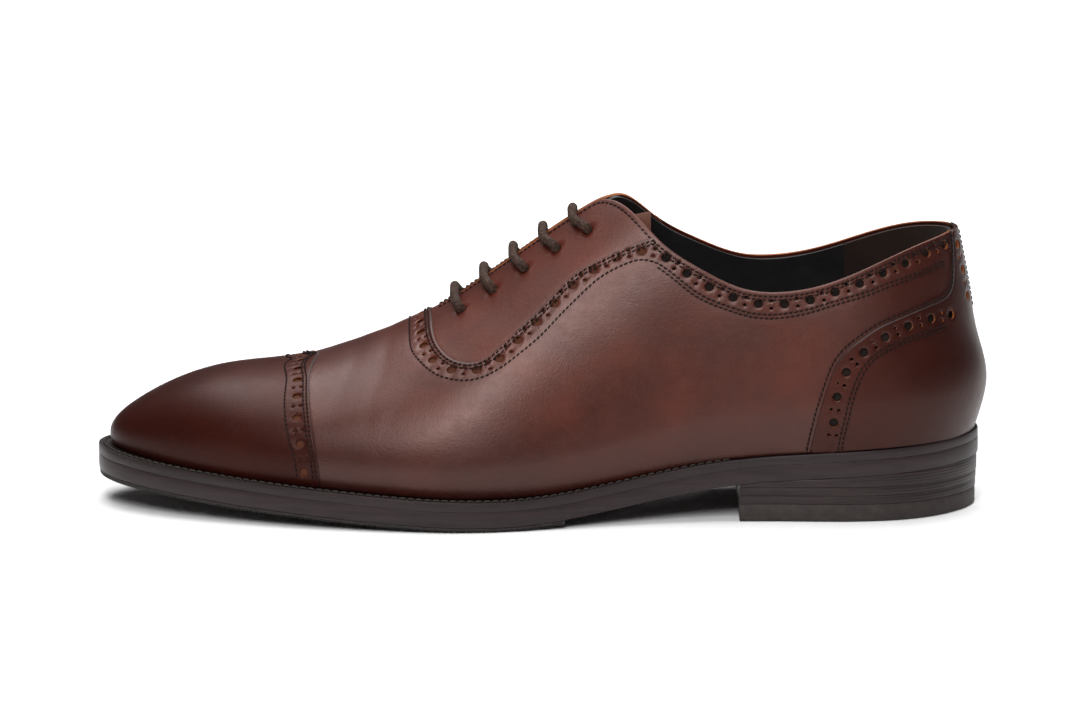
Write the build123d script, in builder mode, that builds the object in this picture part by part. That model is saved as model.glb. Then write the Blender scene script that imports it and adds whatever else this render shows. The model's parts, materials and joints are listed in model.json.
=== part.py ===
from build123d import *
import os
from math import pi, sqrt

import numpy as np

# Left adelaide oxford, welted, in millimetres. +X runs from toe to heel, +Y to the medial side,
# +Z up from the ground. The origin lies on the ground under the middle of the shoe.

# ---- driving dimensions -----------------------------------------------------------------------
UPPER_TOE = -149.7        # foremost point of the upper
UPPER_HEEL = 153.8        # rearmost point of the upper, under the counter cover
SOLE_TOE = -154.1
SOLE_HEEL = 151.4
HALF_SPAN = 70.0          # reach of every side-to-side cut

UPPER_LEATHER = 1.3
RAISED = 0.4              # how far toe cap and counter cover stand above the body leather
FACING_DROP = 0.25        # how far the facings lie below the body leather
PLY_GAP = 0.05            # air between two plies
SEAT_GAP = 0.08           # air between the upper's feet and the seat
LINING_GAP = 0.4          # and under the vamp lining, which is skived thin there
STIFFENER = 0.65          # ply between upper leather and lining
LINING = 1.05

WELT = 3.2
OUTSOLE = 5.6
TREAD = 1.6
INSOLE = 3.0
SOCK = 1.0
RIB_WIDTH = 2.2
WELT_WIDTH = 10.5
HEEL_BREAST = 68.0
TOP_PIECE = 6.0
LIFT = 3.0

LACE = 3.3
EYELET_BORE = 4.2
EYELET_BARREL = 5.0
EYELET_FLANGE = 7.4
AGLET = 3.7

# depths below the outer skin at which each ply starts and ends
OUTER_PLY = (0.0, UPPER_LEATHER)
RAISED_PLY = (-RAISED, UPPER_LEATHER)
MIDDLE_PLY = (UPPER_LEATHER + PLY_GAP, UPPER_LEATHER + PLY_GAP + STIFFENER)
INNER_PLY = (MIDDLE_PLY[1] + PLY_GAP, MIDDLE_PLY[1] + PLY_GAP + LINING)
CAVITY = INNER_PLY[1] + 2 * PLY_GAP


# ---- curves -----------------------------------------------------------------------------------
def natural_spline(knots):
    """A smooth curve through the knots, as a function of the first coordinate."""
    x = np.array([knot[0] for knot in knots], float)
    y = np.array([knot[1] for knot in knots], float)
    step = np.diff(x)
    count = len(x)
    matrix = np.eye(count)
    right = np.zeros(count)
    for i in range(1, count - 1):
        matrix[i, i - 1] = step[i - 1]
        matrix[i, i] = 2 * (step[i - 1] + step[i])
        matrix[i, i + 1] = step[i]
        right[i] = 6 * ((y[i + 1] - y[i]) / step[i] - (y[i] - y[i - 1]) / step[i - 1])
    bend = np.linalg.solve(matrix, right)

    def curve(at):
        i = int(np.clip(np.searchsorted(x, at) - 1, 0, count - 2))
        ahead = x[i + 1] - at
        behind = at - x[i]
        width = step[i]
        cubic = (bend[i] * ahead**3 + bend[i + 1] * behind**3) / (6 * width)
        linear = (y[i] / width - bend[i] * width / 6) * ahead
        return float(cubic + linear + (y[i + 1] / width - bend[i + 1] * width / 6) * behind)

    return curve


def rounded_spline(start, end, knots):
    """A smooth curve that closes round at both ends, like the two ends of an oval."""

    def angle(at):
        share = min(max((at - start) / (end - start), 0.0), 1.0)
        return float(np.arccos(1 - 2 * share) / pi)

    curve = natural_spline([(angle(at), value) for at, value in knots])
    return lambda at: curve(angle(at))


# widest line of the upper, seen from above
lateral_reach = rounded_spline(UPPER_TOE, UPPER_HEEL, [
    (-149.7, 5), (-140, -12.5), (-118, -27), (-85, -38.8), (-55, -45.5), (-31, -48), (-8, -45.6),
    (20, -39.2), (50, -34.2), (80, -33.4), (110, -34.6), (130, -31.3), (145, -21.5), (153.8, 0)])
medial_reach = rounded_spline(UPPER_TOE, UPPER_HEEL, [
    (-149.7, 5), (-140, 22), (-118, 35.5), (-90, 44.5), (-62, 47.8), (-40, 45.5), (-15, 38.3),
    (10, 31.2), (40, 28.4), (75, 31.4), (110, 34.4), (130, 31.3), (145, 21.5), (153.8, 0)])
# top line of the last, and the seat on which the upper stands
ridge_y = natural_spline([(-150, 5), (-110, 6.5), (-70, 7), (-30, 5), (10, 3), (50, 1), (100, 0), (155, 0)])
ridge_z = rounded_spline(UPPER_TOE, UPPER_HEEL, [
    (-149.7, 23.3), (-146, 30), (-139, 34.8), (-125, 41.5), (-111, 45.4), (-97, 47), (-84, 48.8),
    (-63, 55.6), (-42, 65), (-21, 78.6), (0, 94.6), (20, 109), (40, 120), (70, 129), (153.8, 131)])
seat_z = natural_spline([
    (-154, 19.8), (-110, 15.6), (-70, 12.6), (-30, 10.4), (0, 10.9), (30, 15.4), (60, 20.7),
    (90, 23.5), (152, 26.7)])
# shape of each cross-section
wide_rise = natural_spline([
    (-150, 3.5), (-110, 6), (-60, 9), (-20, 11), (30, 14), (90, 17), (155, 17.7)])
tuck_depth = rounded_spline(UPPER_TOE, UPPER_HEEL, [
    (-149.7, 0), (-140, 10.5), (-100, 24), (-30, 36), (30, 45), (90, 53), (153.8, 53)])
rise_power = natural_spline([
    (-150, 2.1), (-120, 2.3), (-70, 1.9), (-30, 1.55), (10, 1.32), (50, 1.28), (155, 1.25)])
width_power = natural_spline([(-150, 2.1), (-120, 2.4), (-70, 2.15), (-30, 2), (10, 2), (155, 2)])
# how far the back of the heel leans in at each height
heel_lean = natural_spline([
    (10, 8), (20, 6), (27, 4), (36.6, 1.2), (44.4, 0), (51.5, 0.9), (60, 3.3), (74.5, 6.1),
    (95.8, 10.3), (135, 17.5)])
# edge of sole and welt, seen from above
sole_lateral = rounded_spline(SOLE_TOE, SOLE_HEEL, [
    (-154.1, 5), (-146, -13.5), (-118, -31), (-84, -42.6), (-55, -48.6), (-31, -51), (-8, -48.4),
    (20, -41), (50, -35.2), (80, -33.5), (105, -34.2), (130, -29), (143, -19), (151.4, 0)])
sole_medial = rounded_spline(SOLE_TOE, SOLE_HEEL, [
    (-154.1, 5), (-146, 23), (-118, 39.7), (-90, 48), (-62, 51), (-40, 49), (-15, 41.5),
    (10, 33.5), (40, 29.6), (75, 31.8), (105, 34.2), (130, 29), (143, 19), (151.4, 0)])
# top edge of the quarters, seen from the side
topline_z = natural_spline([
    (20, 109), (29, 106.3), (40, 96.3), (54, 87), (69, 80.3), (80, 79.2), (95, 81.5), (115, 89),
    (130, 94.5), (143, 97.3)])


def spread(start, end, count):
    return [start + (end - start) * i / (count - 1) for i in range(count)]


def lean_share(x):
    """How much of the heel's lean a section feels: none in front of the ankle, all at the back."""
    t = min(max((x - 40) / 90, 0.0), 1.0)
    return t * t * (3 - 2 * t)


def wide_z(x):
    return seat_z(x) + wide_rise(x)


def section_points(share, inset, steps=8):
    """Where the section plane stands, and its arch from the lateral foot over the ridge.

    share runs from 0 at the toe to 1 at the heel. inset is the depth below the outer skin.
    """
    length = UPPER_HEEL - UPPER_TOE
    x = UPPER_TOE + share * length
    plane_x = UPPER_TOE + inset + share * (length - 2 * inset)
    crest = ridge_z(x)
    slope = min(abs(ridge_z(x + 1) - ridge_z(x - 1)) / 2, 0.8)
    height = crest - wide_z(x)
    crest_low = crest - inset * sqrt(1 + slope**2) * height / (height + 2)

    def closed(z):
        return x + lean_share(x) * heel_lean(z) >= UPPER_HEEL

    top = crest_low
    while closed(top):
        top -= 0.25
    foot = max(seat_z(x) - 3, wide_z(x) - 0.97 * tuck_depth(x))
    while closed(foot):
        foot += 0.25
    levels = [foot, (foot + wide_z(x)) / 2]
    levels += [wide_z(x) + (top - wide_z(x)) * (1 - (1 - i / steps) ** 2) for i in range(steps)]

    def arch(reach, z):
        along = min(x + lean_share(x) * heel_lean(z), UPPER_HEEL)
        width = abs(reach(along) - ridge_y(x))
        width = max(width - inset * width / (width + 2), 0.5)
        if z >= wide_z(x):
            up = min((z - wide_z(x)) / (crest_low - wide_z(x)), 1.0)
            return width * (1 - up ** rise_power(x)) ** (1 / width_power(x))
        down = min((wide_z(x) - z) / tuck_depth(x), 1.0)
        return max(width * sqrt(1 - down**2), 0.4)

    lateral = [(ridge_y(x) - arch(lateral_reach, z), z) for z in levels]
    medial = [(ridge_y(x) + arch(medial_reach, z), z) for z in reversed(levels)]
    return plane_x, lateral + [(ridge_y(x), top)] + medial


def last_form(inset, stations=26):
    """The whole closed form of the upper, at a depth below its outer skin."""
    with BuildPart() as form:
        for i in range(stations):
            share = (1 - np.cos(pi * (i + 0.5) / stations)) / 2
            plane_x, arch = section_points(share, inset)
            with BuildSketch(Plane.YZ.offset(plane_x)):
                with BuildLine():
                    add(Edge.make_spline(arch, parameters=spread(0.0, 1.0, len(arch))))
                    Line(arch[-1], arch[0])
                make_face()
        loft()
    return form.part


forms = {}


def ply(depths):
    """A shell between two depths, open at nothing yet: pieces are cut out of it."""
    for depth in depths:
        if depth not in forms:
            forms[depth] = last_form(depth)
    add(forms[depths[0]])
    add(forms[depths[1]], mode=Mode.SUBTRACT)


def side_cut(points, closing, mode, amount=HALF_SPAN, both=True):
    """Cut or keep what a side outline holds: a smooth edge, closed by straight lines."""
    with BuildSketch(Plane.XZ) as outline:
        with BuildLine():
            Spline(*points)
            Polyline(points[-1], *closing, points[0])
        make_face()
    extrude(outline.sketch, amount=amount, both=both, mode=mode)


def side_band(low, high, start, end, mode=Mode.INTERSECT, count=13):
    """Keep or cut the band between two height curves."""
    stations = spread(start, end, count)
    with BuildSketch(Plane.XZ) as band:
        with BuildLine():
            Spline(*[(x, low(x)) for x in stations])
            Line((end, low(end)), (end, high(end)))
            Spline(*[(x, high(x)) for x in reversed(stations)])
            Line((start, high(start)), (start, low(start)))
        make_face()
    extrude(band.sketch, amount=HALF_SPAN, both=True, mode=mode)


def level(offset):
    """A height curve parallel to the seat."""
    return lambda x: seat_z(x) + offset


# ---- side outlines of the upper's panels --------------------------------------------------------
CAP_EDGE = [(-76.5, 56), (-80, 46), (-79, 36), (-77.3, 25), (-75.5, 10)]
COUNTER_EDGE = [
    (91.5, 20), (93.7, 32.6), (97.9, 47.5), (104, 59.6), (114.8, 67.3), (128.7, 72.3), (137.5, 75),
    (141, 79), (141.6, 90), (140.5, 101)]
FACING_EDGE = [
    (-39.5, 72), (-37.2, 62.2), (-31.2, 56.9), (-24, 56), (-16.9, 59.2), (-7.4, 67.5), (6.2, 80.3),
    (13, 86), (26.7, 92.6), (46, 99.5)]
FACING_HEM = [
    (-48, 72), (-46.2, 60), (-41.5, 54), (-31, 49.5), (-20.2, 50.5), (-7.4, 58.6), (6.2, 70.5),
    (17, 81), (26.6, 87), (50, 94)]
STIFFENER_EDGE = [(88, 20), (91, 40), (99, 56), (112, 65.5), (128, 70), (150, 72.5)]
GAP_EDGE = [(-39, 1), (-14, 3.2), (10, 5), (28, 6.2)]     # half width of the gap between the facings
THROAT_X = -39.0
GRIP_X = 104.0
MEDIAL_RISE = 3.0         # the medial topline stands this much higher at mid ankle


def medial_topline(x):
    t = min(max((x - 20) / 123, 0.0), 1.0)
    return topline_z(x) + MEDIAL_RISE * (4 * t * (1 - t)) ** 1.5


def open_throat():
    """Cut the foot opening, the gap between the facings and everything below the seat."""
    sides = [(topline_z, 1), (medial_topline, -1)]
    for curve, sign in sides:
        points = [(x, curve(x)) for x in spread(20, 143, 12)]
        closing = [(170, 99), (170, 150), (20, 150)]
        side_cut(points, closing, Mode.SUBTRACT, amount=sign * HALF_SPAN, both=False)
    with BuildSketch() as gap:
        with BuildLine():
            Polyline(
                *[(x, ridge_y(x) - half) for x, half in GAP_EDGE],
                *[(x, ridge_y(x) + half) for x, half in reversed(GAP_EDGE)],
                close=True)
        make_face()
    extrude(gap.sketch, amount=150, mode=Mode.SUBTRACT)
    side_band(lambda x: -20.0, level(SEAT_GAP), -170, 170, mode=Mode.SUBTRACT)


BEHIND = [(190, 101), (190, 20)]
ABOVE = [(46, 150), (-39.5, 150)]
AHEAD = [(-190, 10), (-190, 56)]

# ---- eyelets and lace route ----------------------------------------------------------------------
EYELET_ROWS = 5
EYELET_FIRST = -28.0      # how far forward the lowest pair stands
EYELET_PITCH = 10.9
EYELET_SIDE = {-1: 16.4, 1: 13.8}         # from the instep's ridge to the lowest eyelet, each side
SIDE_STEP = 0.35          # each pair stands this much closer to the ridge than the one below
LACE_OUT = 1.9            # height of the lace's middle over the skin, where it crosses
LACE_IN = 6.1             # depth of its middle where it runs inside the facing
LACE_BEND = 2.4
SIDES = {"lateral": -1, "medial": 1}


def skin_point(x, y, height=0.0):
    """The point at a height over the outer skin of the instep, and the skin's normal there."""

    def skin_z(along, across):
        reach = lateral_reach if across < ridge_y(along) else medial_reach
        share = abs(across - ridge_y(along)) / abs(reach(along) - ridge_y(along))
        arch = (1 - share ** width_power(along)) ** (1 / rise_power(along))
        return wide_z(along) + (ridge_z(along) - wide_z(along)) * arch

    rise_x = skin_z(x + 0.5, y) - skin_z(x - 0.5, y)
    rise_y = skin_z(x, y + 0.5) - skin_z(x, y - 0.5)
    normal = Vector(-rise_x, -rise_y, 1).normalized()
    return Vector(x, y, skin_z(x, y)) + normal * height, normal


def eyelet(row, sign, height=0.0, aside=0.0):
    """Over or under the eyelet of a row. aside moves it away from the ridge."""
    x = EYELET_FIRST + EYELET_PITCH * row
    side = EYELET_SIDE[sign] - SIDE_STEP * row + aside
    return skin_point(x, ridge_y(x) + sign * side, height)


def bar(row, sign):
    """The lace's way across the gap, from the eyelet on one side to the one on the other."""
    x = EYELET_FIRST + EYELET_PITCH * row - 1 - 0.75 * row
    half = 2.6 + 0.9 * row

    def over(way, side):
        return skin_point(x, ridge_y(x) + way * side, LACE_OUT + 0.2)[0]

    middle = {way: (half + EYELET_SIDE[way] - SIDE_STEP * row) / 2 for way in SIDES.values()}
    return [
        eyelet(row, sign, LACE_OUT)[0], over(sign, middle[sign]), over(sign, half),
        over(-sign, half), over(-sign, middle[-sign]), eyelet(row, -sign, LACE_OUT)[0]]


def inside(row, sign, aside=0.0):
    return eyelet(row, sign, -LACE_IN, aside)[0]


def tucked_end(sign, start_x):
    """The lace's end, lying between tongue and lining, away from the eyelet that it left."""
    first = EYELET_SIDE[sign] + 2.4
    ends = [(start_x - 6, first), (start_x - 17, first + 2.2), (start_x - 28, first + 3)]
    return [skin_point(x, ridge_y(x) + sign * side, -LACE_IN)[0] for x, side in ends]


ASIDE = 3.8               # lets two runs of lace pass beside each other
lateral_end = tucked_end(-1, EYELET_FIRST + 3 * EYELET_PITCH)
medial_end = tucked_end(1, EYELET_FIRST + 4 * EYELET_PITCH)
lace_route = [
    *reversed(lateral_end),
    inside(3, -1), *bar(3, -1), inside(3, 1), inside(2, 1, -ASIDE), inside(1, 1),
    *bar(1, 1), inside(1, -1), inside(0, -1),
    *bar(0, -1), inside(0, 1), inside(1, 1, ASIDE), inside(2, 1),
    *bar(2, 1), inside(2, -1), inside(3, -1, -ASIDE), inside(4, -1),
    *bar(4, -1), inside(4, 1),
    *medial_end]


def corner_radius(before, corner, after):
    """As large as the two runs allow, and no smaller than the eyelet makes the lace bend."""
    turn = (corner - before).get_angle(after - corner)
    shorter = min((corner - before).length, (after - corner).length)
    if turn > 60:
        return LACE_BEND
    return 0.45 * shorter / np.tan(np.radians(turn / 2))


lace_radii = [float(corner_radius(*lace_route[i:i + 3])) for i in range(len(lace_route) - 2)]
print("lace radii", [round(radius, 1) for radius in lace_radii])

eyelet_planes = {}
for side_name, side_sign in SIDES.items():
    eyelet_planes[side_name] = []
    for row_number in range(EYELET_ROWS):
        centre, outward = eyelet(row_number, side_sign)
        eyelet_planes[side_name].append(Plane(origin=centre, z_dir=outward))
all_eyelets = eyelet_planes["lateral"] + eyelet_planes["medial"]


def bore_eyelets(diameter):
    with Locations(*all_eyelets):
        Cylinder(diameter / 2, 20, mode=Mode.SUBTRACT)


def along(low_x, high_x):
    """Keep what lies between two places along the shoe."""
    with BuildSketch(Plane.XZ) as slab:
        with Locations(((low_x + high_x) / 2, 50)):
            Rectangle(high_x - low_x, 300)
    extrude(slab.sketch, amount=HALF_SPAN, both=True, mode=Mode.INTERSECT)


def stand_on_seat(gap=SEAT_GAP):
    side_band(lambda x: -20.0, level(gap), -170, 170, mode=Mode.SUBTRACT)


pieces = {}


def keep(name, shape):
    shape.label = name
    pieces[name] = shape


def split_sides(name, shape):
    """A pair of mirror-wise pieces that the throat parts into two solids."""
    lateral, medial = shape.solids().sort_by(SortBy.VOLUME)[-2:].sort_by(Axis.Y)
    keep(f"{name}_lateral", lateral)
    keep(f"{name}_medial", medial)


# ---- upper, outer leather -----------------------------------------------------------------------
with BuildPart() as toe_cap:
    ply(RAISED_PLY)
    side_cut(CAP_EDGE, AHEAD, Mode.INTERSECT)
    stand_on_seat()
keep("toe_cap", toe_cap.part)

with BuildPart() as heel_counter_cover:
    ply(RAISED_PLY)
    side_cut(COUNTER_EDGE, BEHIND, Mode.INTERSECT)
    open_throat()
keep("heel_counter_cover", heel_counter_cover.part)

with BuildPart() as vamp_quarters:
    ply(OUTER_PLY)
    side_cut(CAP_EDGE, AHEAD, Mode.SUBTRACT)
    side_cut(COUNTER_EDGE, BEHIND, Mode.SUBTRACT)
    side_cut(FACING_EDGE, ABOVE, Mode.SUBTRACT)
    open_throat()
keep("vamp_quarters", vamp_quarters.part)

# the facings show inside the brogued edge, and their hems run on below the body leather
with BuildPart() as facing_hems:
    ply(MIDDLE_PLY)
    side_cut(FACING_HEM, [(50, 150), (-48, 150)], Mode.INTERSECT)

with BuildPart() as facings:
    ply((FACING_DROP, MIDDLE_PLY[1]))
    side_cut(FACING_EDGE, ABOVE, Mode.INTERSECT)
    add(facing_hems.part)
    open_throat()
    with BuildSketch() as throat_seam:
        with Locations((THROAT_X - 10, ridge_y(THROAT_X))):
            Rectangle(24, 2 * PLY_GAP)
    extrude(throat_seam.sketch, amount=150, mode=Mode.SUBTRACT)
    bore_eyelets(EYELET_BORE)
split_sides("facing", facings.part)

# ---- upper, hidden ply ----------------------------------------------------------------------------
with BuildPart() as toe_puff:
    ply(MIDDLE_PLY)
    along(-200, -86)
    stand_on_seat()
keep("toe_puff", toe_puff.part)

with BuildPart() as vamp_interlining:
    ply(MIDDLE_PLY)
    along(-85.9, -48.2)
    stand_on_seat()
keep("vamp_interlining", vamp_interlining.part)

with BuildPart() as quarter_interlinings:
    ply(MIDDLE_PLY)
    along(-46, 132)
    side_cut(FACING_HEM, [(50, 150), (-48, 150)], Mode.SUBTRACT)
    side_cut(STIFFENER_EDGE, [(190, 72.5), (190, 0), (88, 0)], Mode.SUBTRACT)
    open_throat()
split_sides("quarter_interlining", quarter_interlinings.part)

with BuildPart() as heel_stiffener:
    ply(MIDDLE_PLY)
    inner_edge = [(x + 0.1, z - 0.1) for x, z in STIFFENER_EDGE]
    side_cut(inner_edge, [(190, 72.4), (190, 0), (88, 0)], Mode.INTERSECT)
    stand_on_seat()
keep("heel_stiffener", heel_stiffener.part)

# ---- upper, lining ----------------------------------------------------------------------------------
with BuildPart() as vamp_lining:
    ply(INNER_PLY)
    along(-200, THROAT_X - 0.1)
    stand_on_seat(LINING_GAP)
keep("vamp_lining", vamp_lining.part)

with BuildPart() as quarter_linings:
    ply(INNER_PLY)
    along(THROAT_X, GRIP_X)
    open_throat()
    bore_eyelets(EYELET_BARREL + 0.4)
split_sides("quarter_lining", quarter_linings.part)

with BuildPart() as heel_grip:
    ply(INNER_PLY)
    along(GRIP_X + 0.1, 200)
    open_throat()
keep("heel_grip", heel_grip.part)

# ---- closure ------------------------------------------------------------------------------------------
BARREL_TOP = MIDDLE_PLY[1] + 0.4
FLANGE_TOP = INNER_PLY[1] + 0.7
FLANGE_END = FLANGE_TOP + 0.4
for side_name in SIDES:
    with BuildPart() as eyelets:
        for seat in eyelet_planes[side_name]:
            with BuildSketch(seat.offset(-FLANGE_END)) as barrel:
                Circle(EYELET_BARREL / 2)
                Circle(EYELET_BORE / 2, mode=Mode.SUBTRACT)
            extrude(barrel.sketch, amount=FLANGE_END - BARREL_TOP)
            with BuildSketch(seat.offset(-FLANGE_END)) as flange:
                Circle(EYELET_FLANGE / 2)
                Circle(EYELET_BORE / 2, mode=Mode.SUBTRACT)
            extrude(flange.sketch, amount=FLANGE_END - FLANGE_TOP)
    keep(f"eyelets_{side_name}", eyelets.part)

with BuildPart() as lace:
    with BuildLine() as lace_line:
        FilletPolyline(*lace_route, radius=lace_radii)
    lace_wire = lace_line.wires()[0]
    with BuildSketch(Plane(origin=lace_wire @ 0, z_dir=lace_wire % 0)):
        Circle(LACE / 2)
    sweep()
keep("lace", lace.part)
lace_length = lace_wire.length
print("lace length", round(lace_length, 1))
print("lace volume", round(lace.part.volume), "section times length", round(pi * LACE**2 / 4 * lace_length))

AGLET_LENGTH = 6.0
with BuildPart() as aglets:
    for tip, turn in ((lace_wire @ 0, lace_wire % 0), (lace_wire @ 1, (lace_wire % 1) * -1)):
        with BuildSketch(Plane(origin=tip, z_dir=turn)) as tube:
            Circle(AGLET / 2)
            Circle(LACE / 2 + PLY_GAP / 2, mode=Mode.SUBTRACT)
        extrude(tube.sketch, amount=AGLET_LENGTH)
keep("aglets", aglets.part)

# the tongue hangs from its front end, and leaves room for the lace between itself and the lining
TONGUE_START = -58.0
TONGUE_END = 38.0
TONGUE_LEATHER = 1.4
TONGUE_BACKING = 0.9
tongue_drop = natural_spline([(-58, 6), (-49, 7.2), (-36, 11.2), (10, 11.8), (24, 13.4), (38, 17)])
tongue_pinch = natural_spline([(-58, 6), (-49, 6.8), (-36, 9), (10, 10.3), (24, 9.4), (38, 6)])
tongue_share = natural_spline([(-58, 0.3), (-46, 0.55), (-20, 0.72), (10, 0.8), (38, 0.86)])


def tongue_arch(x, depth, count=9):
    """A cross-section line of the tongue, at a depth below its upper face."""
    points = []
    for share in spread(-tongue_share(x), tongue_share(x), count):
        reach = lateral_reach if share < 0 else medial_reach
        width = abs(reach(x) - ridge_y(x)) - tongue_pinch(x) - depth
        crest = ridge_z(x) - tongue_drop(x) - depth
        arch = (1 - abs(share) ** width_power(x)) ** (1 / rise_power(x))
        points.append((ridge_y(x) + share * width, wide_z(x) + (crest - wide_z(x)) * arch))
    return points


def tongue_sheet(top, bottom):
    """Slices of one ply of the tongue, from its sewn front end to its free end."""
    slices = []
    for x in spread(TONGUE_START, TONGUE_END, 13):
        upper_face = tongue_arch(x, top)
        lower_face = tongue_arch(x, bottom)
        with BuildSketch(Plane.YZ.offset(x)) as slice_sketch:
            with BuildLine():
                add(Edge.make_spline(upper_face, parameters=spread(0.0, 1.0, len(upper_face))))
                Line(upper_face[-1], lower_face[-1])
                add(Edge.make_spline(lower_face[::-1], parameters=spread(0.0, 1.0, len(lower_face))))
                Line(lower_face[0], upper_face[0])
            make_face()
        slices.append(slice_sketch.sketch)
    return slices


tongue_slices = tongue_sheet(0, TONGUE_LEATHER)
with BuildPart() as tongue:
    loft(tongue_slices)
keep("tongue", tongue.part)

BACKING_TOP = TONGUE_LEATHER + PLY_GAP
backing_slices = tongue_sheet(BACKING_TOP, BACKING_TOP + TONGUE_BACKING)
with BuildPart() as tongue_lining:
    loft(backing_slices)
keep("tongue_lining", tongue_lining.part)


# ---- bottom -----------------------------------------------------------------------------------------------
def sole_plan(inset, count=14):
    """The sole's outline from above, set in from the edge."""
    length = SOLE_HEEL - SOLE_TOE
    points = []
    for i in range(2 * count):
        share = (1 - np.cos(pi * i / count)) / 2
        x = SOLE_TOE + share * length
        middle = (sole_lateral(x) + sole_medial(x)) / 2
        width = (sole_medial(x) - sole_lateral(x)) / 2
        width -= inset * width / (width + 2)
        sign = -1 if i <= count else 1
        points.append((SOLE_TOE + inset + share * (length - 2 * inset), middle + sign * width))
    with BuildSketch() as plan:
        with BuildLine():
            Spline(*points, periodic=True)
        make_face()
    return plan.sketch


def sole_plate(inset, low, high, hollow=None):
    """A plate that follows the seat, between two heights over it; hollow leaves only a rim."""
    extrude(sole_plan(inset), amount=40)
    if hollow is not None:
        extrude(sole_plan(hollow), amount=40, mode=Mode.SUBTRACT)
    side_band(level(low), level(high), -170, 170)


WELT_FLOOR = -WELT + PLY_GAP
SOLE_TOP = -WELT
SOLE_FLOOR = SOLE_TOP - OUTSOLE
RIB_INSET = WELT_WIDTH + PLY_GAP
CORK_INSET = RIB_INSET + RIB_WIDTH + PLY_GAP
SHANK_WIDTH = 14.0
SHANK_SPAN = (-22.0, 78.0)
SHANK_TOP = -0.6
SHANK_FLOOR = -1.8


def shank_bar(clearance):
    with BuildSketch() as strip:
        with Locations(((SHANK_SPAN[0] + SHANK_SPAN[1]) / 2, 0)):
            SlotOverall(SHANK_SPAN[1] - SHANK_SPAN[0] + 2 * clearance, SHANK_WIDTH + 2 * clearance)
    extrude(strip.sketch, amount=40)
    side_band(level(SHANK_FLOOR - clearance), level(SHANK_TOP + clearance), -170, 170)


with BuildPart() as insole:
    add(last_form(CAVITY))
    side_band(level(2 * PLY_GAP), level(2 * PLY_GAP + INSOLE), -170, 170)
keep("insole", insole.part)

SOCK_BASE = INSOLE + 3 * PLY_GAP
with BuildPart() as sock_liner:
    add(last_form(CAVITY + PLY_GAP))
    side_band(level(SOCK_BASE), level(SOCK_BASE + SOCK), -170, 170)
    along(-60, 200)
keep("sock_liner", sock_liner.part)

with BuildPart() as welt:
    sole_plate(0, WELT_FLOOR, 0, hollow=WELT_WIDTH)
    along(-200, HEEL_BREAST)
keep("welt", welt.part)

with BuildPart() as heel_rand:
    sole_plate(0, WELT_FLOOR, 0, hollow=WELT_WIDTH)
    along(HEEL_BREAST + 0.1, 200)
keep("heel_rand", heel_rand.part)

with BuildPart() as insole_rib:
    sole_plate(RIB_INSET, WELT_FLOOR, PLY_GAP, hollow=RIB_INSET + RIB_WIDTH)
keep("insole_rib", insole_rib.part)

with BuildPart() as shank:
    shank_bar(0)
keep("shank", shank.part)

with BuildPart() as shank_pocket:
    shank_bar(PLY_GAP)

with BuildPart() as cork_filler:
    sole_plate(CORK_INSET, WELT_FLOOR, 0)
    add(shank_pocket.part, mode=Mode.SUBTRACT)
keep("cork_filler", cork_filler.part)

# nails: (x, y) over the heel, the long ones hold the lifts, the short ones the top piece
HEEL_CENTRE = 110.0
with BuildSketch() as long_nail_plan:
    with Locations((HEEL_CENTRE, 0)):
        with PolarLocations(15, 6, start_angle=30):
            Circle(1.0)
with BuildSketch() as short_nail_plan:
    with Locations((HEEL_CENTRE, 0)):
        with PolarLocations(24, 8, start_angle=22.5):
            Circle(0.8)
LONG_NAIL = (7.0, 17.0)
SHORT_NAIL = (0.4, 8.4)


def nails(plan, span, mode=Mode.ADD, clearance=0.0):
    """A ring of nails standing between two heights, or their holes."""
    shanks = plan if clearance == 0 else offset(plan, amount=clearance, mode=Mode.PRIVATE)
    for face in shanks.faces():
        extrude(face.moved(Location((0, 0, span[0]))), amount=span[1] - span[0], dir=(0, 0, 1), mode=mode)


with BuildPart() as heel_nails:
    nails(long_nail_plan.sketch, LONG_NAIL)
keep("heel_nails", heel_nails.part)

with BuildPart() as top_piece_nails:
    nails(short_nail_plan.sketch, SHORT_NAIL)
keep("top_piece_nails", top_piece_nails.part)

with BuildPart() as outsole:
    sole_plate(0, SOLE_FLOOR, SOLE_TOP)
    nails(long_nail_plan.sketch, LONG_NAIL, Mode.SUBTRACT, PLY_GAP)
keep("outsole", outsole.part)

TREAD_END = 8.0
TREAD_FLOOR = SOLE_FLOOR - TREAD
GROOVE = 1.3
GROOVE_PITCH = 3.6
GROOVE_DEPTH = 0.9


def cross_grooves(start, end, top):
    """Grooves across the walking face, cut up to a height curve."""
    with BuildSketch(Plane.XZ) as slots:
        x = start
        while x < end:
            with Locations((x, top(x) - 10)):
                Rectangle(GROOVE, 20)
            x += GROOVE_PITCH
    extrude(slots.sketch, amount=HALF_SPAN, both=True, mode=Mode.SUBTRACT)


with BuildPart() as tread:
    sole_plate(0.3, TREAD_FLOOR, SOLE_FLOOR - PLY_GAP)
    along(-200, TREAD_END)
    cross_grooves(-112, 0, level(TREAD_FLOOR + GROOVE_DEPTH))
keep("tread", tread.part)


def heel_layer(name, inset, low, high):
    """One flat layer of the heel; high may be a height or a curve."""
    with BuildPart() as layer:
        extrude(sole_plan(inset), amount=40)
        along(HEEL_BREAST, 200)
        side_band(lambda x: low, high, HEEL_BREAST - 1, 170)
        nails(long_nail_plan.sketch, LONG_NAIL, Mode.SUBTRACT, PLY_GAP)
        nails(short_nail_plan.sketch, SHORT_NAIL, Mode.SUBTRACT, PLY_GAP)
        if low == 0:
            cross_grooves(116, 148, lambda x: GROOVE_DEPTH)
    keep(name, layer.part)


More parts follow.
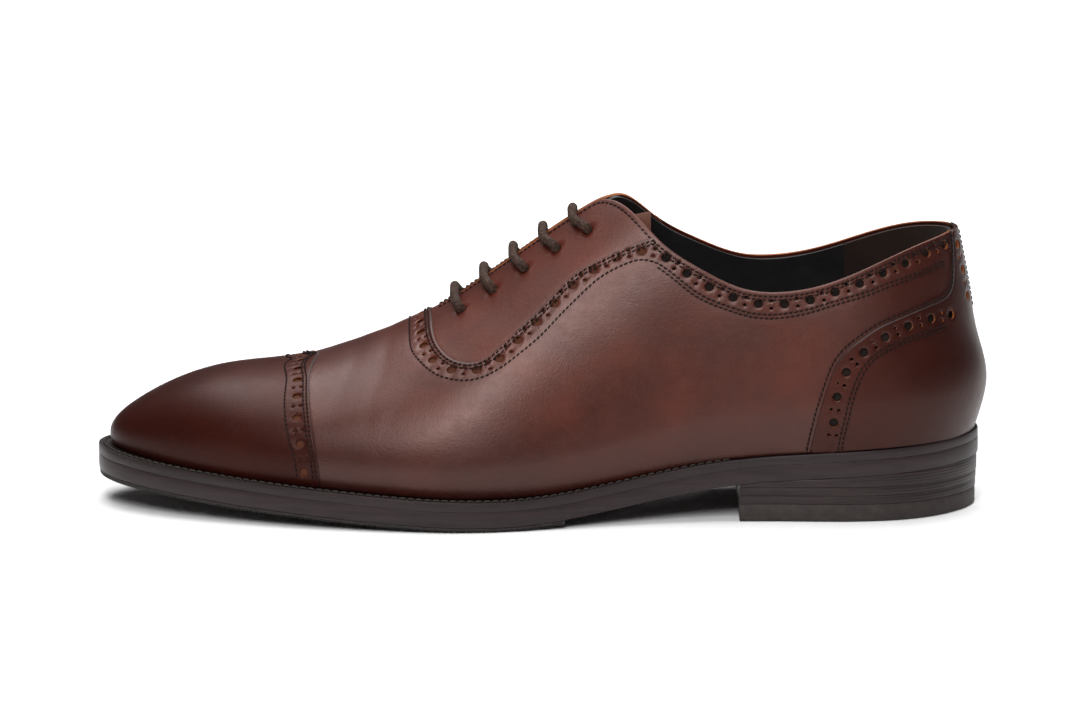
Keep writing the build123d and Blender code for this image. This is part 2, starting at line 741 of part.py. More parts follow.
heel_layer("heel_top_piece", 0.9, 0.0, lambda x: TOP_PIECE)
heel_layer("heel_lift_lower", 0.75, TOP_PIECE + PLY_GAP, lambda x: TOP_PIECE + LIFT)
heel_layer("heel_lift_middle", 0.6, TOP_PIECE + LIFT + PLY_GAP, lambda x: TOP_PIECE + 2 * LIFT)
heel_layer("heel_lift_upper", 0.4, TOP_PIECE + 2 * LIFT + PLY_GAP, level(SOLE_FLOOR - PLY_GAP))

os.makedirs("parts", exist_ok=True)
for piece_name, piece in pieces.items():
    export_step(piece, f"parts/{piece_name}.step")
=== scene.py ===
import json
from math import cos, pi, radians, sin

import bpy
import numpy as np
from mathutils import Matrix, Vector
from mathutils.geometry import delaunay_2d_cdt

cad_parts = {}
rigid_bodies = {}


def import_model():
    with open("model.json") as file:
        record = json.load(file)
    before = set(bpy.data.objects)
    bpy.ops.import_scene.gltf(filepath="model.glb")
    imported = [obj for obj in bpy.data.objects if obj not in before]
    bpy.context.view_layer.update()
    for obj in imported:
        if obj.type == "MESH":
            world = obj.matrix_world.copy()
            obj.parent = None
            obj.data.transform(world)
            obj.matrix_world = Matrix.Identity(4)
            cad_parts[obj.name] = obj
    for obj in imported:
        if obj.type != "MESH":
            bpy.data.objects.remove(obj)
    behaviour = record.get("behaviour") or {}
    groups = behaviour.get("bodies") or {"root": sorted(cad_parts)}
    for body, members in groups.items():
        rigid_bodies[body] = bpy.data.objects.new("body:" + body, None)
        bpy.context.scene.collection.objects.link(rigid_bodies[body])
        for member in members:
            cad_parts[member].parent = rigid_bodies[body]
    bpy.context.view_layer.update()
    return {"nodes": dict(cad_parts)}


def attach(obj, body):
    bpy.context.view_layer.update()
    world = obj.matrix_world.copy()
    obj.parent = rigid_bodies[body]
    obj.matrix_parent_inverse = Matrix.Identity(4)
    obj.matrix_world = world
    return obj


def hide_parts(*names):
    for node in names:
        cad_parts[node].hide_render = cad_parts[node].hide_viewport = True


# A left adelaide oxford. +X runs from toe to heel, +Y to the medial side, +Z up. The curves below
# are in millimetres, and every mesh is made in metres.
for leftover in list(bpy.data.objects):
    bpy.data.objects.remove(leftover)
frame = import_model()
MM = 0.001
LATERAL, MEDIAL = -1, 1

# ---- driving sizes, mm ------------------------------------------------------------------------
TOE, HEEL = -149.7, 153.8
SOLE_TOE, SOLE_HEEL = -154.1, 151.4
WELT, OUTSOLE, TREAD = 3.2, 5.6, 1.6
HEEL_BREAST = 68.0
TOP_PIECE, LIFT = 6.0, 3.0
LACE_RADIUS = 1.65
RAISED = 0.45             # cap and counter cover stand this far over the body leather
LAP_STEP = 0.55           # the body leather gives way this much under a panel that lies over it
LAP_DROP = 0.55           # the facings lie this far under it
LAYER_GAP = 0.05          # between two layers of the bottom
FINE = 1.15               # mesh spacing of the outer panels


# ---- curves -----------------------------------------------------------------------------------
def natural_spline(knots):
    """A smooth curve through the knots, for arrays."""
    x = np.array([knot[0] for knot in knots], float)
    y = np.array([knot[1] for knot in knots], float)
    step = np.diff(x)
    count = len(x)
    matrix = np.eye(count)
    right = np.zeros(count)
    for i in range(1, count - 1):
        matrix[i, i - 1] = step[i - 1]
        matrix[i, i] = 2 * (step[i - 1] + step[i])
        matrix[i, i + 1] = step[i]
        right[i] = 6 * ((y[i + 1] - y[i]) / step[i] - (y[i] - y[i - 1]) / step[i - 1])
    bend = np.linalg.solve(matrix, right)

    def curve(at):
        at = np.asarray(at, float)
        i = np.clip(np.searchsorted(x, at) - 1, 0, count - 2)
        ahead = x[i + 1] - at
        behind = at - x[i]
        width = step[i]
        cubic = (bend[i] * ahead**3 + bend[i + 1] * behind**3) / (6 * width)
        linear = (y[i] / width - bend[i] * width / 6) * ahead
        return cubic + linear + (y[i + 1] / width - bend[i + 1] * width / 6) * behind

    return curve


def rounded_spline(start, end, knots):
    """A smooth curve that closes round at both ends, like the ends of an oval."""

    def angle(at):
        share = np.clip((np.asarray(at, float) - start) / (end - start), 0, 1)
        return np.arccos(1 - 2 * share) / pi

    curve = natural_spline([(float(angle(at)), value) for at, value in knots])
    return lambda at: curve(angle(at))


def tabulated(curve, low, high, count=4000):
    """The same curve, read from an even table, because the skin asks for it very often."""
    table = curve(np.linspace(low, high, count))
    scale = (count - 1) / (high - low)

    def read(at):
        place = np.clip((np.asarray(at, float) - low) * scale, 0, count - 1.001)
        i = place.astype(int)
        part = place - i
        return table[i] * (1 - part) + table[i + 1] * part

    return read


lateral_reach = rounded_spline(TOE, HEEL, [
    (-149.7, 5), (-140, -12.5), (-118, -27), (-85, -38.8), (-55, -45.5), (-31, -48), (-8, -45.6),
    (20, -39.2), (50, -34.2), (80, -33.4), (110, -34.6), (130, -31.3), (145, -21.5), (153.8, 0)])
medial_reach = rounded_spline(TOE, HEEL, [
    (-149.7, 5), (-140, 22), (-118, 35.5), (-90, 44.5), (-62, 47.8), (-40, 45.5), (-15, 38.3),
    (10, 31.2), (40, 28.4), (75, 31.4), (110, 34.4), (130, 31.3), (145, 21.5), (153.8, 0)])
ridge_y = natural_spline([(-150, 5), (-110, 6.5), (-70, 7), (-30, 5), (10, 3), (50, 1), (100, 0), (155, 0)])
ridge_z = rounded_spline(TOE, HEEL, [
    (-149.7, 23.3), (-146, 30), (-139, 34.8), (-125, 41.5), (-111, 45.4), (-97, 47), (-84, 48.8),
    (-63, 55.6), (-42, 65), (-21, 78.6), (0, 94.6), (20, 109), (40, 120), (70, 129), (153.8, 131)])
seat_z = natural_spline([
    (-154, 19.8), (-110, 15.6), (-70, 12.6), (-30, 10.4), (0, 10.9), (30, 15.4), (60, 20.7),
    (90, 23.5), (152, 26.7)])
wide_rise = natural_spline([
    (-150, 3.5), (-110, 6), (-60, 9), (-20, 11), (30, 14), (90, 17), (155, 17.7)])
tuck_depth = rounded_spline(TOE, HEEL, [
    (-149.7, 0), (-140, 10.5), (-100, 24), (-30, 36), (30, 45), (90, 53), (153.8, 53)])
rise_power = natural_spline([
    (-150, 2.1), (-120, 2.3), (-70, 1.9), (-30, 1.55), (10, 1.32), (50, 1.28), (155, 1.25)])
width_power = natural_spline([(-150, 2.1), (-120, 2.4), (-70, 2.15), (-30, 2), (10, 2), (155, 2)])
heel_lean = natural_spline([
    (10, 8), (20, 6), (27, 4), (36.6, 1.2), (44.4, 0), (51.5, 0.9), (60, 3.3), (74.5, 6.1),
    (95.8, 10.3), (135, 17.5)])
sole_lateral = rounded_spline(SOLE_TOE, SOLE_HEEL, [
    (-154.1, 5), (-146, -13.5), (-118, -31), (-84, -42.6), (-55, -48.6), (-31, -51), (-8, -48.4),
    (20, -41), (50, -35.2), (80, -33.5), (105, -34.2), (130, -29), (143, -19), (151.4, 0)])
sole_medial = rounded_spline(SOLE_TOE, SOLE_HEEL, [
    (-154.1, 5), (-146, 23), (-118, 39.7), (-90, 48), (-62, 51), (-40, 49), (-15, 41.5),
    (10, 33.5), (40, 29.6), (75, 31.8), (105, 34.2), (130, 29), (143, 19), (151.4, 0)])
topline_z = natural_spline([
    (20, 109), (29, 106.3), (40, 96.3), (54, 87), (69, 80.3), (80, 79.2), (95, 81.5), (115, 89),
    (130, 94.5), (143, 97.3)])
MEDIAL_RISE = 3.0

ALL_X = (-156, 156)       # a little more than the shoe's length
lateral_reach = tabulated(lateral_reach, TOE, HEEL)
medial_reach = tabulated(medial_reach, TOE, HEEL)
ridge_y = tabulated(ridge_y, *ALL_X)
ridge_z = tabulated(ridge_z, TOE, HEEL)
wide_rise = tabulated(wide_rise, *ALL_X)
tuck_depth = tabulated(tuck_depth, TOE, HEEL)
rise_power = tabulated(rise_power, *ALL_X)
width_power = tabulated(width_power, *ALL_X)
heel_lean = tabulated(heel_lean, 0, 140)
seat_z = tabulated(seat_z, *ALL_X)


def smoothstep(low, high, at):
    t = np.clip((np.asarray(at, float) - low) / (high - low), 0, 1)
    return t * t * (3 - 2 * t)


def lean_share(x):
    return smoothstep(40, 130, x)


def wide_z(x):
    return seat_z(x) + wide_rise(x)


def topline(x, side):
    t = np.clip((np.asarray(x, float) - 20) / 123, 0, 1)
    rise = MEDIAL_RISE * (4 * t * (1 - t)) ** 1.5 if side == MEDIAL else 0.0
    return topline_z(np.clip(x, 20, 143)) + rise


def half_width(x, z, side):
    """How far the skin stands from the ridge plane, or -1 where there is none."""
    along = x + lean_share(x) * heel_lean(z)
    inside = (along > TOE) & (along < HEEL) & (z < ridge_z(x))
    reach = np.where(side < 0, lateral_reach(along), medial_reach(along))
    width = np.abs(reach - ridge_y(x))
    wide = wide_z(x)
    up = np.clip((z - wide) / np.maximum(ridge_z(x) - wide, 1e-6), 0, 1)
    down = np.clip((wide - z) / np.maximum(tuck_depth(x), 1e-6), 0, 1)
    arch = (1 - up ** rise_power(x)) ** (1 / width_power(x))
    return np.where(inside, width * np.where(z >= wide, arch, np.sqrt(1 - down**2)), -1.0)


def skin_y(x, z, side):
    """Where the skin of one side lies, for arrays of places and heights."""
    return ridge_y(x) + side * half_width(x, z, np.full(len(x), side))


def within(points):
    x, y, z = points[:, 0], points[:, 1], points[:, 2]
    across = y - ridge_y(x)
    return np.abs(across) < half_width(x, z, across)


def cast(origins, directions, reach):
    """Where rays from inside the form leave its skin."""
    low = np.zeros(len(origins))
    high = np.full(len(origins), float(reach))
    for _ in range(24):
        middle = (low + high) / 2
        inside = within(origins + directions * middle[:, None])
        low = np.where(inside, middle, low)
        high = np.where(inside, high, middle)
    return origins + directions * high[:, None]


# ---- charts: flat maps of the skin, near true to size ------------------------------------------
class BodyChart:
    """u runs along the shoe and v round it, from the ridge down to either foot."""

    WIDTH = 36.0

    def rise(self, x):
        return np.maximum(ridge_z(x) - wide_z(x), 8)

    def points(self, flat):
        x = flat[:, 0]
        angle = flat[:, 1] * 2 / (self.WIDTH + self.rise(x))
        origin = np.stack([x, ridge_y(x), wide_z(x)], 1)
        way = np.stack([0 * x, self.WIDTH * np.sin(angle), self.rise(x) * np.cos(angle)], 1)
        return cast(origin, way, 2.2)

    def flat(self, points):
        x = points[:, 0]
        angle = np.arctan2(
            (points[:, 1] - ridge_y(x)) / self.WIDTH, (points[:, 2] - wide_z(x)) / self.rise(x))
        return np.stack([x, angle * (self.WIDTH + self.rise(x)) / 2], 1)


class HeelChart:
    """u runs round the heel from the middle of its back, v is the height."""

    AXIS = 104.0
    RADIUS = 36.0

    def points(self, flat):
        angle = flat[:, 0] / self.RADIUS
        origin = np.stack([0 * angle + self.AXIS, 0 * angle, flat[:, 1]], 1)
        way = np.stack([np.cos(angle), np.sin(angle), 0 * angle], 1)
        return cast(origin, way, 70)

    def flat(self, points):
        angle = np.arctan2(points[:, 1], points[:, 0] - self.AXIS)
        return np.stack([angle * self.RADIUS, points[:, 2]], 1)


class ToeChart:
    """A map centred on the top of the toe, true along every way out from there."""

    CENTRE = np.array([-104.0, 6.3, 22.0])
    SIZE = np.array([50.0, 38.0, 26.0])
    RADIUS = 38.0

    def points(self, flat):
        tilt = np.hypot(flat[:, 0], flat[:, 1]) / self.RADIUS
        turn = np.arctan2(flat[:, 1], flat[:, 0])
        way = np.stack([np.sin(tilt) * np.cos(turn), np.sin(tilt) * np.sin(turn), np.cos(tilt)], 1)
        return cast(np.tile(self.CENTRE, (len(flat), 1)), way * self.SIZE, 2.4)

    def flat(self, points):
        way = (points - self.CENTRE) / self.SIZE
        way = way / np.linalg.norm(way, axis=1)[:, None]
        tilt = np.arccos(np.clip(way[:, 2], -1, 1)) * self.RADIUS
        turn = np.arctan2(way[:, 1], way[:, 0])
        return np.stack([tilt * np.cos(turn), tilt * np.sin(turn)], 1)


BODY, BACK, FRONT = BodyChart(), HeelChart(), ToeChart()
PROBE = 0.3               # half the span over which the skin's slope is taken


def frames(chart, flat):
    """Points, outward normals and the two slopes of the skin at places on a chart."""
    across = np.array([PROBE, 0.0])
    up = np.array([0.0, PROBE])
    count = len(flat)
    stacked = np.concatenate([flat, flat + across, flat - across, flat + up, flat - up])
    points = chart.points(stacked)
    here = points[:count]
    along_u = (points[count:2 * count] - points[2 * count:3 * count]) / (2 * PROBE)
    along_v = (points[3 * count:4 * count] - points[4 * count:]) / (2 * PROBE)
    normal = np.cross(along_u, along_v)
    normal /= np.linalg.norm(normal, axis=1)[:, None]
    middle = np.stack([here[:, 0] * 0.9, ridge_y(here[:, 0]), wide_z(here[:, 0])], 1)
    facing = np.einsum("ij,ij->i", normal, here - middle)
    normal *= np.where(facing < 0, -1.0, 1.0)[:, None]
    return here, normal, along_u, along_v


# ---- paths --------------------------------------------------------------------------------------
def even_path(points, step, closed=False):
    """The same line, with points an even step apart."""
    points = np.asarray(points, float)
    if closed:
        points = np.vstack([points, points[:1]])
    gaps = np.linalg.norm(np.diff(points, axis=0), axis=1)
    points = points[np.concatenate([[True], gaps > 1e-9])]
    gaps = np.linalg.norm(np.diff(points, axis=0), axis=1)
    run = np.concatenate([[0], np.cumsum(gaps)])
    count = max(int(round(run[-1] / step)), 2)
    at = np.linspace(0, run[-1], count + 1)
    if closed:
        at = at[:-1]
    return np.stack([np.interp(at, run, points[:, k]) for k in range(points.shape[1])], 1)


def smooth_path(knots, step=0.5):
    """A smooth line through a few knots."""
    knots = np.asarray(knots, float)
    run = np.concatenate([[0], np.cumsum(np.linalg.norm(np.diff(knots, axis=0), axis=1))])
    fine = np.linspace(0, run[-1], max(int(run[-1] / step), 8))
    curves = [natural_spline(list(zip(run, knots[:, k]))) for k in range(knots.shape[1])]
    return np.stack([curve(fine) for curve in curves], 1)


UNDER_RIDGE = 0.006       # side outlines end just below the ridge


def on_side(outline, side):
    """Points of a side outline, (x, z), laid on the skin."""
    outline = np.asarray(outline, float)
    x = outline[:, 0]
    z = np.minimum(outline[:, 1], ridge_z(x) - UNDER_RIDGE)
    return np.stack([x, skin_y(x, z, side), z], 1)


def on_top(outline):
    """Points of an outline seen from above, (x, y), laid on the skin of the instep."""
    outline = np.asarray(outline, float)
    x, y = outline[:, 0], outline[:, 1]
    across = y - ridge_y(x)
    reach = np.where(across < 0, lateral_reach(x), medial_reach(x))
    share = np.clip(np.abs(across) / np.abs(reach - ridge_y(x)), 0, 0.999)
    rise = (1 - share ** width_power(x)) ** (1 / rise_power(x))
    return np.stack([x, y, wide_z(x) + (ridge_z(x) - wide_z(x)) * rise], 1)


def aside(chart, path, distance):
    """A path moved sideways over the skin, to the left of its way as seen from outside."""
    points, normal, _, _ = frames(chart, path)
    way = np.gradient(points, axis=0)
    way /= np.linalg.norm(way, axis=1)[:, None]
    return chart.flat(points + np.cross(normal, way) * distance)


def run_length(points):
    return np.concatenate([[0], np.cumsum(np.linalg.norm(np.diff(points, axis=0), axis=1))])


# ---- meshes --------------------------------------------------------------------------------------
def new_object(name, vertices, faces, materials, material_of=None, smooth_angle=35):
    """A mesh object from points in millimetres."""
    mesh = bpy.data.meshes.new(name)
    mesh.from_pydata((np.asarray(vertices, float) * MM).tolist(), [], faces)
    for material in materials:
        mesh.materials.append(material)
    if material_of is not None:
        mesh.polygons.foreach_set("material_index", np.asarray(material_of, np.int32))
    mesh.polygons.foreach_set("use_smooth", np.ones(len(mesh.polygons), bool))
    mesh.validate()
    mesh.set_sharp_from_angle(angle=radians(smooth_angle))
    mesh.update()
    piece = bpy.data.objects.new(name, mesh)
    bpy.context.scene.collection.objects.link(piece)
    return piece


def settle(piece, body, slot, *nodes):
    """Every piece rides on a body and stands for its CAD nodes; its slot is not used."""
    if body:
        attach(piece, body)
    if nodes:
        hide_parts(*nodes)
    return piece


BLOCK = 4000              # points taken at a time, to keep memory small


def edge_distance(points, loop):
    """Distance of each point from a closed outline."""
    side = np.roll(loop, -1, axis=0) - loop
    length = np.maximum((side**2).sum(1), 1e-12)
    best = np.full(len(points), np.inf)
    for low in range(0, len(points), BLOCK):
        some = points[low:low + BLOCK, None, :] - loop[None]
        t = np.clip((some * side[None]).sum(2) / length[None], 0, 1)
        away = some - t[..., None] * side[None]
        best[low:low + BLOCK] = np.sqrt((away**2).sum(2).min(1))
    return best


def inside_loop(points, loop):
    x, y = points[:, 0], points[:, 1]
    result = np.zeros(len(points), bool)
    ahead = np.roll(loop, -1, axis=0)
    for (ax, ay), (bx, by) in zip(loop, ahead):
        crosses = (ay > y) != (by > y)
        if crosses.any():
            result ^= crosses & (x < (bx - ax) * (y - ay) / (by - ay + 1e-30) + ax)
    return result


def turned_left(loop):
    """The same outline, run counter-clockwise."""
    ahead = np.roll(loop, -1, axis=0)
    area = np.sum(loop[:, 0] * ahead[:, 1] - ahead[:, 0] * loop[:, 1])
    return loop if area > 0 else loop[::-1]


def panel(name, chart, loop, materials, holes=(), top=0.0, bottom=-1.25, spacing=1.7, edge=0.35,
          relief=None, edge_material=None, hole_sides=12):
    """A leather panel: cut to an outline, punched, laid on the skin, with thickness and soft edges.

    loop is the outline on the chart. holes are (place, radius). top and bottom are heights over the
    skin, bottom may be a function of the points. edge_material picks the material of edge walls.
    """
    loop = turned_left(even_path(loop, spacing * 0.62, closed=True))
    rings = []
    ahead = np.roll(loop, -1, axis=0) - np.roll(loop, 1, axis=0)
    ahead /= np.linalg.norm(ahead, axis=1)[:, None]
    inward = np.stack([-ahead[:, 1], ahead[:, 0]], 1)
    if not inside_loop(loop[:1] + inward[:1] * 0.05, loop)[0]:
        inward = -inward
    for depth in (edge * 0.35, edge, edge * 2.4):
        ring = loop + inward * depth
        keep = inside_loop(ring, loop) & (edge_distance(ring, loop) > depth * 0.93)
        rings.append(ring[keep])

    hole_loops, rims = [], []
    if len(holes):
        centres = np.array([place for place, _ in holes], float)
        radii = np.array([radius for _, radius in holes], float)
        _, _, along_u, along_v = frames(chart, centres)
        for centre, radius, du, dv in zip(centres, radii, along_u, along_v):
            sides = hole_sides if radius > 1 else 8
            angle = np.arange(sides) * 2 * pi / sides
            unit_u = du / np.linalg.norm(du)
            unit_v = dv - unit_u * (dv @ unit_u)
            unit_v /= np.linalg.norm(unit_v)
            round_it = np.outer(np.cos(angle), unit_u) + np.outer(np.sin(angle), unit_v)
            to_flat = np.linalg.pinv(np.stack([du, dv], 1))
            hole_loops.append(turned_left(centre + radius * (round_it @ to_flat.T)))
            rims.append(centre + (radius + 0.25) * (round_it @ to_flat.T))

    low, high = loop.min(0), loop.max(0)
    rows = np.arange(low[1], high[1], spacing * 0.866)
    grid = []
    for number, level in enumerate(rows):
        columns = np.arange(low[0] + (number % 2) * spacing / 2, high[0], spacing)
        grid.append(np.stack([columns, np.full(len(columns), level)], 1))
    grid = np.concatenate(grid)
    grid = grid[inside_loop(grid, loop)]
    grid = grid[edge_distance(grid, loop) > max(edge * 2.4 + spacing * 0.35, spacing * 0.5)]
    if hole_loops:
        reach = np.array([np.linalg.norm(h - c, axis=1).max() for h, c in zip(hole_loops, centres)])
        for low_row in range(0, len(grid), 3000):
            block = grid[low_row:low_row + 3000]
            away = np.linalg.norm(block[:, None] - centres[None], axis=2) - reach[None]
            grid[low_row:low_row + 3000][away.min(1) < 0.25 + spacing * 0.3] = np.nan
        grid = grid[~np.isnan(grid[:, 0])]

    parts = [loop, *hole_loops, *rims, *rings, grid]
    kinds = [1] + [2] * len(hole_loops) + [0] * len(rims) + [0] * len(rings) + [0]
    flat = np.concatenate(parts)
    kind = np.concatenate([np.full(len(part), k) for part, k in zip(parts, kinds)])
    faces_in, start = [], 0
    for part in parts[:1 + len(hole_loops)]:
        faces_in.append(list(range(start, start + len(part))))
        start += len(part)
    cdt = delaunay_2d_cdt([Vector(p) for p in flat.tolist()], [], faces_in, 0, 1e-5, True)
    verts = np.array([tuple(v) for v in cdt[0]])
    origin = cdt[3]
    kind = np.array([min((kind[k] for k in ids if kind[k]), default=0) if ids else 1 for ids in origin])
    triangles = np.array(cdt[2])
    middles = verts[triangles].mean(1)
    triangles = triangles[inside_loop(middles, loop) & ~(kind[triangles] == 2).all(1)]
    used = np.unique(triangles.ravel())
    renumber = -np.ones(len(verts), int)
    renumber[used] = np.arange(len(used))
    verts, kind = verts[used], kind[used]
    triangles = renumber[triangles]

    points, normal, _, _ = frames(chart, verts)
    away = edge_distance(verts, loop)
    away[kind == 1] = 0
    roll = np.clip(1 - away / edge, 0, 1)
    height = top - edge * (1 - np.sqrt(1 - roll**2 * 0.999))
    height[kind == 2] -= 0.16
    if relief is not None:
        height = height + relief(verts, points)
    floor = bottom(points) if callable(bottom) else np.full(len(verts), bottom)
    floor = np.minimum(floor, height - 0.08)

    a, b, c = (points[triangles[:, k]] for k in range(3))
    turned = np.einsum("ij,ij->i", np.cross(b - a, c - a), normal[triangles[:, 0]]) < 0
    triangles[turned] = triangles[turned][:, ::-1]
    directed = np.concatenate([triangles[:, [0, 1]], triangles[:, [1, 2]], triangles[:, [2, 0]]])
    known = {(int(i), int(j)) for i, j in directed}
    border = [(i, j) for i, j in known if (j, i) not in known]
    count = len(verts)
    faces = triangles.tolist() + (triangles[:, ::-1] + count).tolist()
    material_of = [0] * (2 * len(triangles))
    for i, j in border:
        faces.append([j, i, i + count, j + count])
        if kind[i] == 2 and kind[j] == 2:
            material_of.append(1)
        else:
            material_of.append(edge_material(points[i]) if edge_material else 0)
    vertices = np.concatenate([points + normal * height[:, None], points + normal * floor[:, None]])
    return new_object(name, vertices, faces, materials, material_of, smooth_angle=50)


class Threads:
    """Gathers stitches into one mesh."""

    SIDES, RINGS = 6, 7

    def __init__(self):
        self.vertices, self.faces, self.count = [], [], 0

    def stitch(self, start, end, normal, radius, crown):
        """One stitch: a short thread that rises out of its hole and dives into the next."""
        way = end - start
        length = np.linalg.norm(way)
        way = way / length
        side = np.cross(normal, way)
        share = np.linspace(0, 1, self.RINGS)
        lift = crown * (1 - (2 * share - 1) ** 4 * 2.2)
        thick = radius * (1 - 0.25 * (2 * share - 1) ** 4)
        centre = start + np.outer(share, end - start) + np.outer(lift, normal)
        angle = np.arange(self.SIDES) * 2 * pi / self.SIDES
        ring = np.outer(np.cos(angle), side) + np.outer(np.sin(angle), normal)
        points = centre[:, None, :] + thick[:, None, None] * ring[None]
        base = self.count
        self.vertices.append(points.reshape(-1, 3))
        for k in range(self.RINGS - 1):
            for s in range(self.SIDES):
                t = (s + 1) % self.SIDES
                a, b = base + k * self.SIDES, base + (k + 1) * self.SIDES
                self.faces.append([a + s, a + t, b + t, b + s])
        self.faces.append([base + s for s in range(self.SIDES)][::-1])
        last = base + (self.RINGS - 1) * self.SIDES
        self.faces.append([last + s for s in range(self.SIDES)])
        self.count += self.RINGS * self.SIDES

    def row(self, points, normal, height, pitch=1.8, gap=0.4, radius=0.29, crown=0.15, slant=0.12):
        """Stitches along a line on the skin."""
        run = run_length(points)
        count = max(int(run[-1] / pitch), 1)
        at = (np.arange(count + 1) * run[-1] / count)[:, None]
        place = np.concatenate([np.interp(at, run, points[:, k]) for k in range(3)], 1)
        out = np.concatenate([np.interp(at, run, normal[:, k]) for k in range(3)], 1)
        for i in range(count):
            way = place[i + 1] - place[i]
            length = np.linalg.norm(way)
            facing = out[i] + out[i + 1]
            facing /= np.linalg.norm(facing)
            side = np.cross(facing, way / length)
            trim = way * gap / 2 / length
            lift = facing * height
            self.stitch(place[i] + trim + lift - side * slant, place[i + 1] - trim + lift + side * slant,
                        facing, radius, crown)

    def on_chart(self, chart, path, height, **sizes):
        points, normal, _, _ = frames(chart, path)
        self.row(points, normal, height, **sizes)

    def finish(self, name, material):
        return new_object(name, np.concatenate(self.vertices), self.faces, [material])


# ---- materials ----------------------------------------------------------------------------------
class Shader:
    """A small hand for wiring one Principled material."""

    def __init__(self, name, base, rough=0.5, specular=0.5, coat=0.0, coat_rough=0.2, sheen=0.0,
                 metallic=0.0):
        self.material = bpy.data.materials.new(name)
        self.material.use_nodes = True
        self.tree = self.material.node_tree
        self.nodes, self.links = self.tree.nodes, self.tree.links
        self.surface = self.nodes["Principled BSDF"]
        self.surface.inputs["Base Color"].default_value = (*base, 1)
        self.surface.inputs["Roughness"].default_value = rough
        self.surface.inputs["Specular IOR Level"].default_value = specular
        self.surface.inputs["Coat Weight"].default_value = coat
        self.surface.inputs["Coat Roughness"].default_value = coat_rough
        self.surface.inputs["Sheen Weight"].default_value = sheen
        self.surface.inputs["Metallic"].default_value = metallic
        self.place = self.add("ShaderNodeTexCoord").outputs["Object"]
        self.bumps = []

    def add(self, kind, **values):
        node = self.nodes.new(kind)
        for key, value in values.items():
            setattr(node, key, value)
        return node

    def noise(self, scale, detail=3.0, rough=0.55, stretch=(1, 1, 1), distortion=0.0):
        texture = self.add("ShaderNodeTexNoise")
        texture.inputs["Scale"].default_value = scale
        texture.inputs["Detail"].default_value = detail
        texture.inputs["Roughness"].default_value = rough
        texture.inputs["Distortion"].default_value = distortion
        self.links.new(self.stretched(stretch), texture.inputs["Vector"])
        return texture.outputs["Fac"]

    def cells(self, scale, feature="DISTANCE_TO_EDGE", stretch=(1, 1, 1)):
        texture = self.add("ShaderNodeTexVoronoi", feature=feature)
        texture.inputs["Scale"].default_value = scale
        self.links.new(self.stretched(stretch), texture.inputs["Vector"])
        return texture.outputs["Distance"]

    def waves(self, scale, axis="Z", distortion=2.0, detail=2.0):
        texture = self.add("ShaderNodeTexWave", bands_direction=axis)
        texture.inputs["Scale"].default_value = scale
        texture.inputs["Distortion"].default_value = distortion
        texture.inputs["Detail"].default_value = detail
        self.links.new(self.place, texture.inputs["Vector"])
        return texture.outputs["Fac"]

    def stretched(self, stretch):
        if stretch == (1, 1, 1):
            return self.place
        mapping = self.add("ShaderNodeMapping")
        mapping.inputs["Scale"].default_value = stretch
        self.links.new(self.place, mapping.inputs["Vector"])
        return mapping.outputs["Vector"]

    def ramp(self, source, stops):
        ramp = self.add("ShaderNodeValToRGB")
        ramp.color_ramp.elements[0].position = stops[0][0]
        ramp.color_ramp.elements[0].color = (*stops[0][1], 1)
        ramp.color_ramp.elements[1].position = stops[-1][0]
        ramp.color_ramp.elements[1].color = (*stops[-1][1], 1)
        for place, colour in stops[1:-1]:
            ramp.color_ramp.elements.new(place).color = (*colour, 1)
        self.links.new(source, ramp.inputs["Fac"])
        return ramp.outputs["Color"]

    def spread(self, source, low, high):
        """The source, 0 to 1, turned to run from low to high."""
        span = self.add("ShaderNodeMapRange")
        span.inputs["To Min"].default_value = low
        span.inputs["To Max"].default_value = high
        self.links.new(source, span.inputs["Value"])
        return span.outputs["Result"]

    def along(self, axis, low, high):
        """0 to 1 between two places, in mm, on an axis of the shoe."""
        split = self.add("ShaderNodeSeparateXYZ")
        self.links.new(self.place, split.inputs["Vector"])
        span = self.add("ShaderNodeMapRange", interpolation_type="SMOOTHSTEP")
        span.inputs["From Min"].default_value = low * MM
        span.inputs["From Max"].default_value = high * MM
        self.links.new(split.outputs[axis], span.inputs["Value"])
        return span.outputs["Result"]

    def mix(self, share, first, second, blend="MIX"):
        mix = self.add("ShaderNodeMix", data_type="RGBA", blend_type=blend)
        for socket, value in ((mix.inputs[0], share), (mix.inputs[6], first), (mix.inputs[7], second)):
            if isinstance(value, (int, float)):
                socket.default_value = value
            elif isinstance(value, tuple):
                socket.default_value = (*value, 1)
            else:
                self.links.new(value, socket)
        return mix.outputs[2]

    def colour(self, source):
        self.links.new(source, self.surface.inputs["Base Color"])

    def roughness(self, source, low, high):
        self.links.new(self.spread(source, low, high), self.surface.inputs["Roughness"])

    def bump(self, source, depth_mm, strength=1.0):
        """Relief of a real depth, laid over the relief that is already there."""
        bump = self.add("ShaderNodeBump")
        bump.inputs["Strength"].default_value = strength
        bump.inputs["Distance"].default_value = depth_mm * MM
        self.links.new(source, bump.inputs["Height"])
        if self.bumps:
            self.links.new(self.bumps[-1], bump.inputs["Normal"])
        self.bumps.append(bump.outputs["Normal"])
        self.links.new(bump.outputs["Normal"], self.surface.inputs["Normal"])
        if self.surface.inputs["Coat Weight"].default_value > 0:
            self.links.new(bump.outputs["Normal"], self.surface.inputs["Coat Normal"])
        return self


